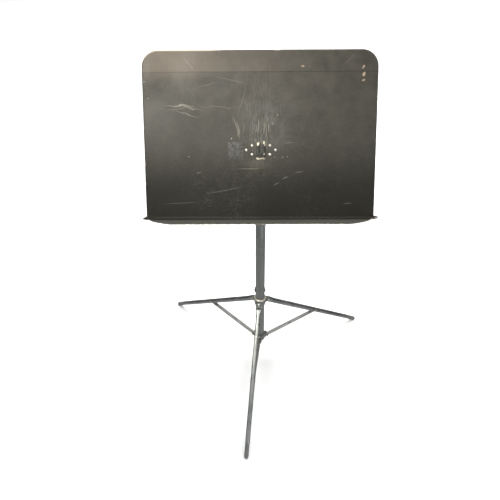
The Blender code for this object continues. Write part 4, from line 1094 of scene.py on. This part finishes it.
def cap_ring(x, start, length, slope, hub_height):
    """The cap's outline at a place along the leg, never below the floor."""
    past = max(0.0, (x - (length - FOOT_NOSE)) / FOOT_NOSE)
    full = math.sqrt(max(1.0 - past ** 2, 0.0))
    lead = 0.93 + 0.07 * step_up(x, start, start + 0.0014)
    half = LEG_HALF_WIDTH * lead * (0.26 + 0.66 * full)
    floor_line = (x * math.sin(slope) - hub_height + FLOOR_GAP) / math.cos(slope)
    low = max(FOOT_CAP_LOW * lead * (0.4 + 0.6 * full), floor_line)
    top = max(LEG_TOP * lead * (0.02 + 0.98 * full), low + 0.0004)
    shoulder = min(LEG_SHOULDER, half * 0.8, (top - low) * 0.48)
    heel = min(0.0012, (top - low) * 0.45)
    outline = arc((half - heel, low + heel), heel, -90.0, 0.0, 4)
    outline += arc((half - shoulder, top - shoulder), shoulder, 0.0, 90.0, 8)
    return [(x, y, z) for z, y in mirrored(outline)]


def foot_cap_mesh(name, length, slope, hub_height):
    """A cap with a round nose and a sole cut flat to the floor, and its plug inside the leg."""
    start = length - FOOT_CAP_LENGTH + GAP
    nose_start = length - FOOT_NOSE
    places = [start, start + 0.0006, start + 0.0014] + spread(start + 0.003, nose_start, 0.003)
    places += [nose_start + FOOT_NOSE * math.sin(math.radians(angle)) for angle in range(0, 90, 8)]
    places.append(length - 1e-5)
    rings = [cap_ring(x, start, length, slope, hub_height) for x in places]
    plug_half = LEG_HALF_WIDTH - LEG_GAUGE - GAP
    plug_top = LEG_TOP - LEG_GAUGE - GAP
    plug_shoulder = LEG_SHOULDER - LEG_GAUGE
    plug = arc((plug_half - 0.0006, -0.0028), 0.0006, -90.0, 0.0, 4)
    plug += arc((plug_half - plug_shoulder, plug_top - plug_shoulder), plug_shoulder, 0.0, 90.0, 8)
    plug_rings = [[(x, y, z) for z, y in mirrored(plug)] for x in (start - 0.014, start)]
    return lofted(name, plug_rings + rings)


def build_tripod(legs, stays, bright, grey, dull):
    """The hub, the bracket, and each leg with its stay, cap and pins."""
    eased_piece("hub_collar", "hub_body", 0.0004, "hub", dull)
    eased_piece("bottom_bracket", "stay_bracket", 0.0003, "column", dull)
    front = Vector(joints["leg_front_hinge"]["pos_m"]) - middle("outer_tube")
    front.z = 0.0
    rivet("bracket_rivet", "bracket_rivet_head", front.normalized(), BRACKET_RIVET_RADIUS,
          BRACKET_RIVET_HEIGHT, "column", bright)
    for side in SIDES:
        build_leg(side, legs, stays, bright, grey)


def build_leg(side, legs, stays, bright, grey):
    """One leg with its cap, its stay and their pins."""
    hinge = joints[f"leg_{side}_hinge"]
    hub_pin = Vector(hinge["pos_m"])
    across = Vector(hinge["axis"])
    stay_pin = Vector(joints[f"stay_{side}_hinge"]["pos_m"])
    foot_pin = middle(f"stay_foot_pin_{side}")
    where = link_frame(hub_pin, stay_pin, across)
    slope = math.asin((hub_pin.z - stay_pin.z) / (stay_pin - hub_pin).length)
    along = where.to_3x3() @ Vector((1.0, 0.0, 0.0))
    length = extent(f"foot_cap_{side}", along)[1] - hub_pin.dot(along)
    leg, stay = f"leg_{side}", f"stay_{side}"
    channel(leg, f"leg_channel_{side}", leg_stations(length), LEG_HALF_WIDTH, LEG_GAUGE, where, legs)
    cap = foot_cap_mesh(f"leg_foot_{side}", length, slope, hub_pin.z)
    piece(f"leg_foot_{side}", cap, where, leg, grey, [f"foot_cap_{side}"], 45.0)
    stations = stay_stations((foot_pin - stay_pin).length)
    where = link_frame(stay_pin, foot_pin, across)
    channel(stay, f"stay_channel_{side}", stations, STAY_HALF_WIDTH, STAY_GAUGE, where, stays)
    for node, body, radius in ((f"leg_pin_{side}", "hub", PIN_HEAD_RADIUS),
                               (f"stay_top_pin_{side}", leg, STAY_PIN_HEAD_RADIUS),
                               (f"stay_foot_pin_{side}", stay, STAY_PIN_HEAD_RADIUS)):
        rivet(node, f"{node}_head", across, radius, PIN_HEAD_HEIGHT, body, bright)


def link_frame(start, end, across):
    """A frame at one pin with X toward the next and Y on the side that faces up."""
    x_axis = (end - start).normalized()
    y_axis = across.cross(x_axis).normalized()
    if y_axis.z < 0.0:
        y_axis = -y_axis
    rotation = Matrix((x_axis, y_axis, x_axis.cross(y_axis))).transposed()
    return Matrix.Translation(start) @ rotation.to_4x4()


# Stage.

def build_floor():
    """A plain pale floor."""
    bm = bmesh.new()
    bmesh.ops.create_grid(bm, x_segments=1, y_segments=1, size=14.0)
    mesh = bpy.data.meshes.new("floor")
    bm.to_mesh(mesh)
    bm.free()
    floor = in_scene("floor", mesh)
    shade = Shade("pale_floor")
    tone = shade.smooth(shade.noise(3.0, 3.0), 0.2, 0.8, 0.92, 0.95)
    shade.surface(Base_Color=shade.mix(tone, (0.95, 0.95, 0.95), (0.99, 0.99, 0.99)), Roughness=0.9,
                  Specular_IOR_Level=0.1)
    mesh.materials.append(shade.material)
    floor.visible_glossy = False


def build_sky():
    """Soft studio light: bright overhead, dim near the horizon, grey below."""
    world = bpy.data.worlds.new("studio")
    world.use_nodes = True
    bpy.context.scene.world = world
    nodes = world.node_tree.nodes
    links = world.node_tree.links
    place = nodes.new("ShaderNodeTexCoord")
    split = nodes.new("ShaderNodeSeparateXYZ")
    spread_out = nodes.new("ShaderNodeMapRange")
    ramp = nodes.new("ShaderNodeValToRGB")
    links.new(place.outputs["Generated"], split.inputs[0])
    links.new(split.outputs[2], spread_out.inputs[0])
    spread_out.inputs[1].default_value = -1.0
    links.new(spread_out.outputs[0], ramp.inputs[0])
    links.new(ramp.outputs[0], nodes["Background"].inputs["Color"])
    stops = ramp.color_ramp.elements
    for index, (height, tone) in enumerate(SKY_STOPS):
        stop = stops[index] if index < 2 else stops.new(0.5)
        stop.position = (height + 1.0) / 2.0
        stop.color = (tone, tone, tone * 0.985, 1.0)


# Height of the direction (-1 down, 1 up) and brightness there.
SKY_STOPS = ((-1.0, 0.52), (-0.55, 0.42), (-0.22, 0.12), (-0.02, 0.05), (0.22, 0.09), (0.50, 0.15),
             (0.80, 0.32), (1.0, 0.80))


def soft_light(name, place, target, width, height, power, colour=(1.0, 1.0, 1.0), beam=180.0):
    """A softbox that looks at a point, with a grid that narrows its beam to an angle in degrees."""
    data = bpy.data.lights.new(name, "AREA")
    data.shape = "RECTANGLE"
    data.size = width
    data.size_y = height
    data.energy = power
    data.color = colour
    data.spread = math.radians(beam)
    lamp = in_scene(name, data)
    lamp.matrix_world = axis_frame(Vector(place), Vector(place) - Vector(target), Vector((1.0, 0.0, 0.0)))
    lamp.visible_camera = False
    return lamp


def build_lights():
    """A warm key close on the left, two washes from above, and a cool strip low on the right."""
    desk = Vector(joints["desk_tilt"]["pos_m"])
    upper_desk = desk + Vector((-0.04, 0.04, 0.06))
    soft_light("key_light", (-0.55, -0.78, 1.66), upper_desk, 0.50, 0.42, 1.5, (1.0, 0.965, 0.88), 44.0)
    washes = (soft_light("top_light", (0.2, 0.9, 3.2), desk, 2.8, 2.4, 92.0),
              soft_light("floor_wash", (0.0, 2.2, 2.6), (0.0, 3.4, 0.0), 5.0, 2.0, 90.0))
    for wash in washes:
        wash.visible_glossy = False
    soft_light("low_light", (0.75, -1.25, 0.30), (desk.x, desk.y, 0.35), 0.16, 0.9, 5.0, (0.93, 0.98, 1.0))


def build_camera():
    """The camera at the viewing angle, with no shift."""
    forward = Vector((-math.sin(CAMERA_YAW) * math.cos(CAMERA_PITCH),
                      math.cos(CAMERA_YAW) * math.cos(CAMERA_PITCH), -math.sin(CAMERA_PITCH)))
    level_right = forward.cross(UP).normalized()
    level_up = level_right.cross(forward)
    right = level_right * math.cos(CAMERA_ROLL) + level_up * math.sin(CAMERA_ROLL)
    above = level_up * math.cos(CAMERA_ROLL) - level_right * math.sin(CAMERA_ROLL)
    data = bpy.data.cameras.new("camera")
    data.lens = CAMERA_LENS
    data.sensor_width = 36.0
    data.clip_start = 0.01
    camera = in_scene("camera", data)
    rotation = Matrix((right, above, -forward)).transposed()
    camera.matrix_world = Matrix.Translation(CAMERA_PLACE) @ rotation.to_4x4()
    bpy.context.scene.camera = camera


def paint_nodes(materials):
    """Gives the CAD nodes that stay their materials."""
    for node, material in materials.items():
        for slot in frame["nodes"][node].material_slots:
            slot.material = material


enamel = ("desk_enamel", desk_enamel())
dull = ("plated_tube", plated_steel("column_plating", (0.280, 0.294, 0.284), (0.350, 0.364, 0.352), 0.30,
                                    (0.0006, 0.0006, 0.060)))
legs = ("plated_leg", plated_steel("leg_plating", (0.31, 0.325, 0.32), (0.43, 0.445, 0.435), 0.26,
                                   (0.060, 0.0008, 0.0008), marks=0.7))
stays = ("plated_leg", plated_steel("stay_plating", (0.38, 0.38, 0.37), (0.50, 0.50, 0.48), 0.28,
                                    (0.060, 0.0008, 0.0008), marks=0.6))
worn_bright = plated_steel("bright_plating_worn", (0.84, 0.80, 0.70), (0.95, 0.91, 0.80), 0.30,
                           (0.004, 0.004, 0.0008), (0.25, 0.22, 0.17), 0.35)
bright = ("bright_plating", worn_bright)
bright_tube = ("plated_tube", worn_bright)
black_plastic = moulded("black_plastic_moulded", (0.020, 0.020, 0.021), (0.042, 0.041, 0.040), 0.42)
black = ("black_plastic", black_plastic)
white_plastic = moulded("white_plastic_moulded", (0.66, 0.65, 0.60), (0.48, 0.46, 0.40), 0.42, 700.0, 0.1)
grey = ("foot_grey", moulded("foot_plastic_moulded", (0.150, 0.155, 0.150), (0.095, 0.095, 0.090), 0.55,
                             1100.0, 0.4))

build_camera()
build_floor()
build_sky()
build_lights()
build_desk(enamel, bright, dull)
build_column(dull, bright, bright_tube, black)
build_knobs(black, bright)
build_tripod(legs, stays, bright, grey, dull)
eased_piece("tilt_head", "tilt_head_body", 0.0004, "mast", dull)
paint_nodes({"friction_bush": white_plastic, "inner_tube_guide": black_plastic,
             "tilt_washer_left": black_plastic, "tilt_washer_right": black_plastic,
             "tube_end_plug": black_plastic})

bpy.context.scene.view_settings.view_transform = "Standard"
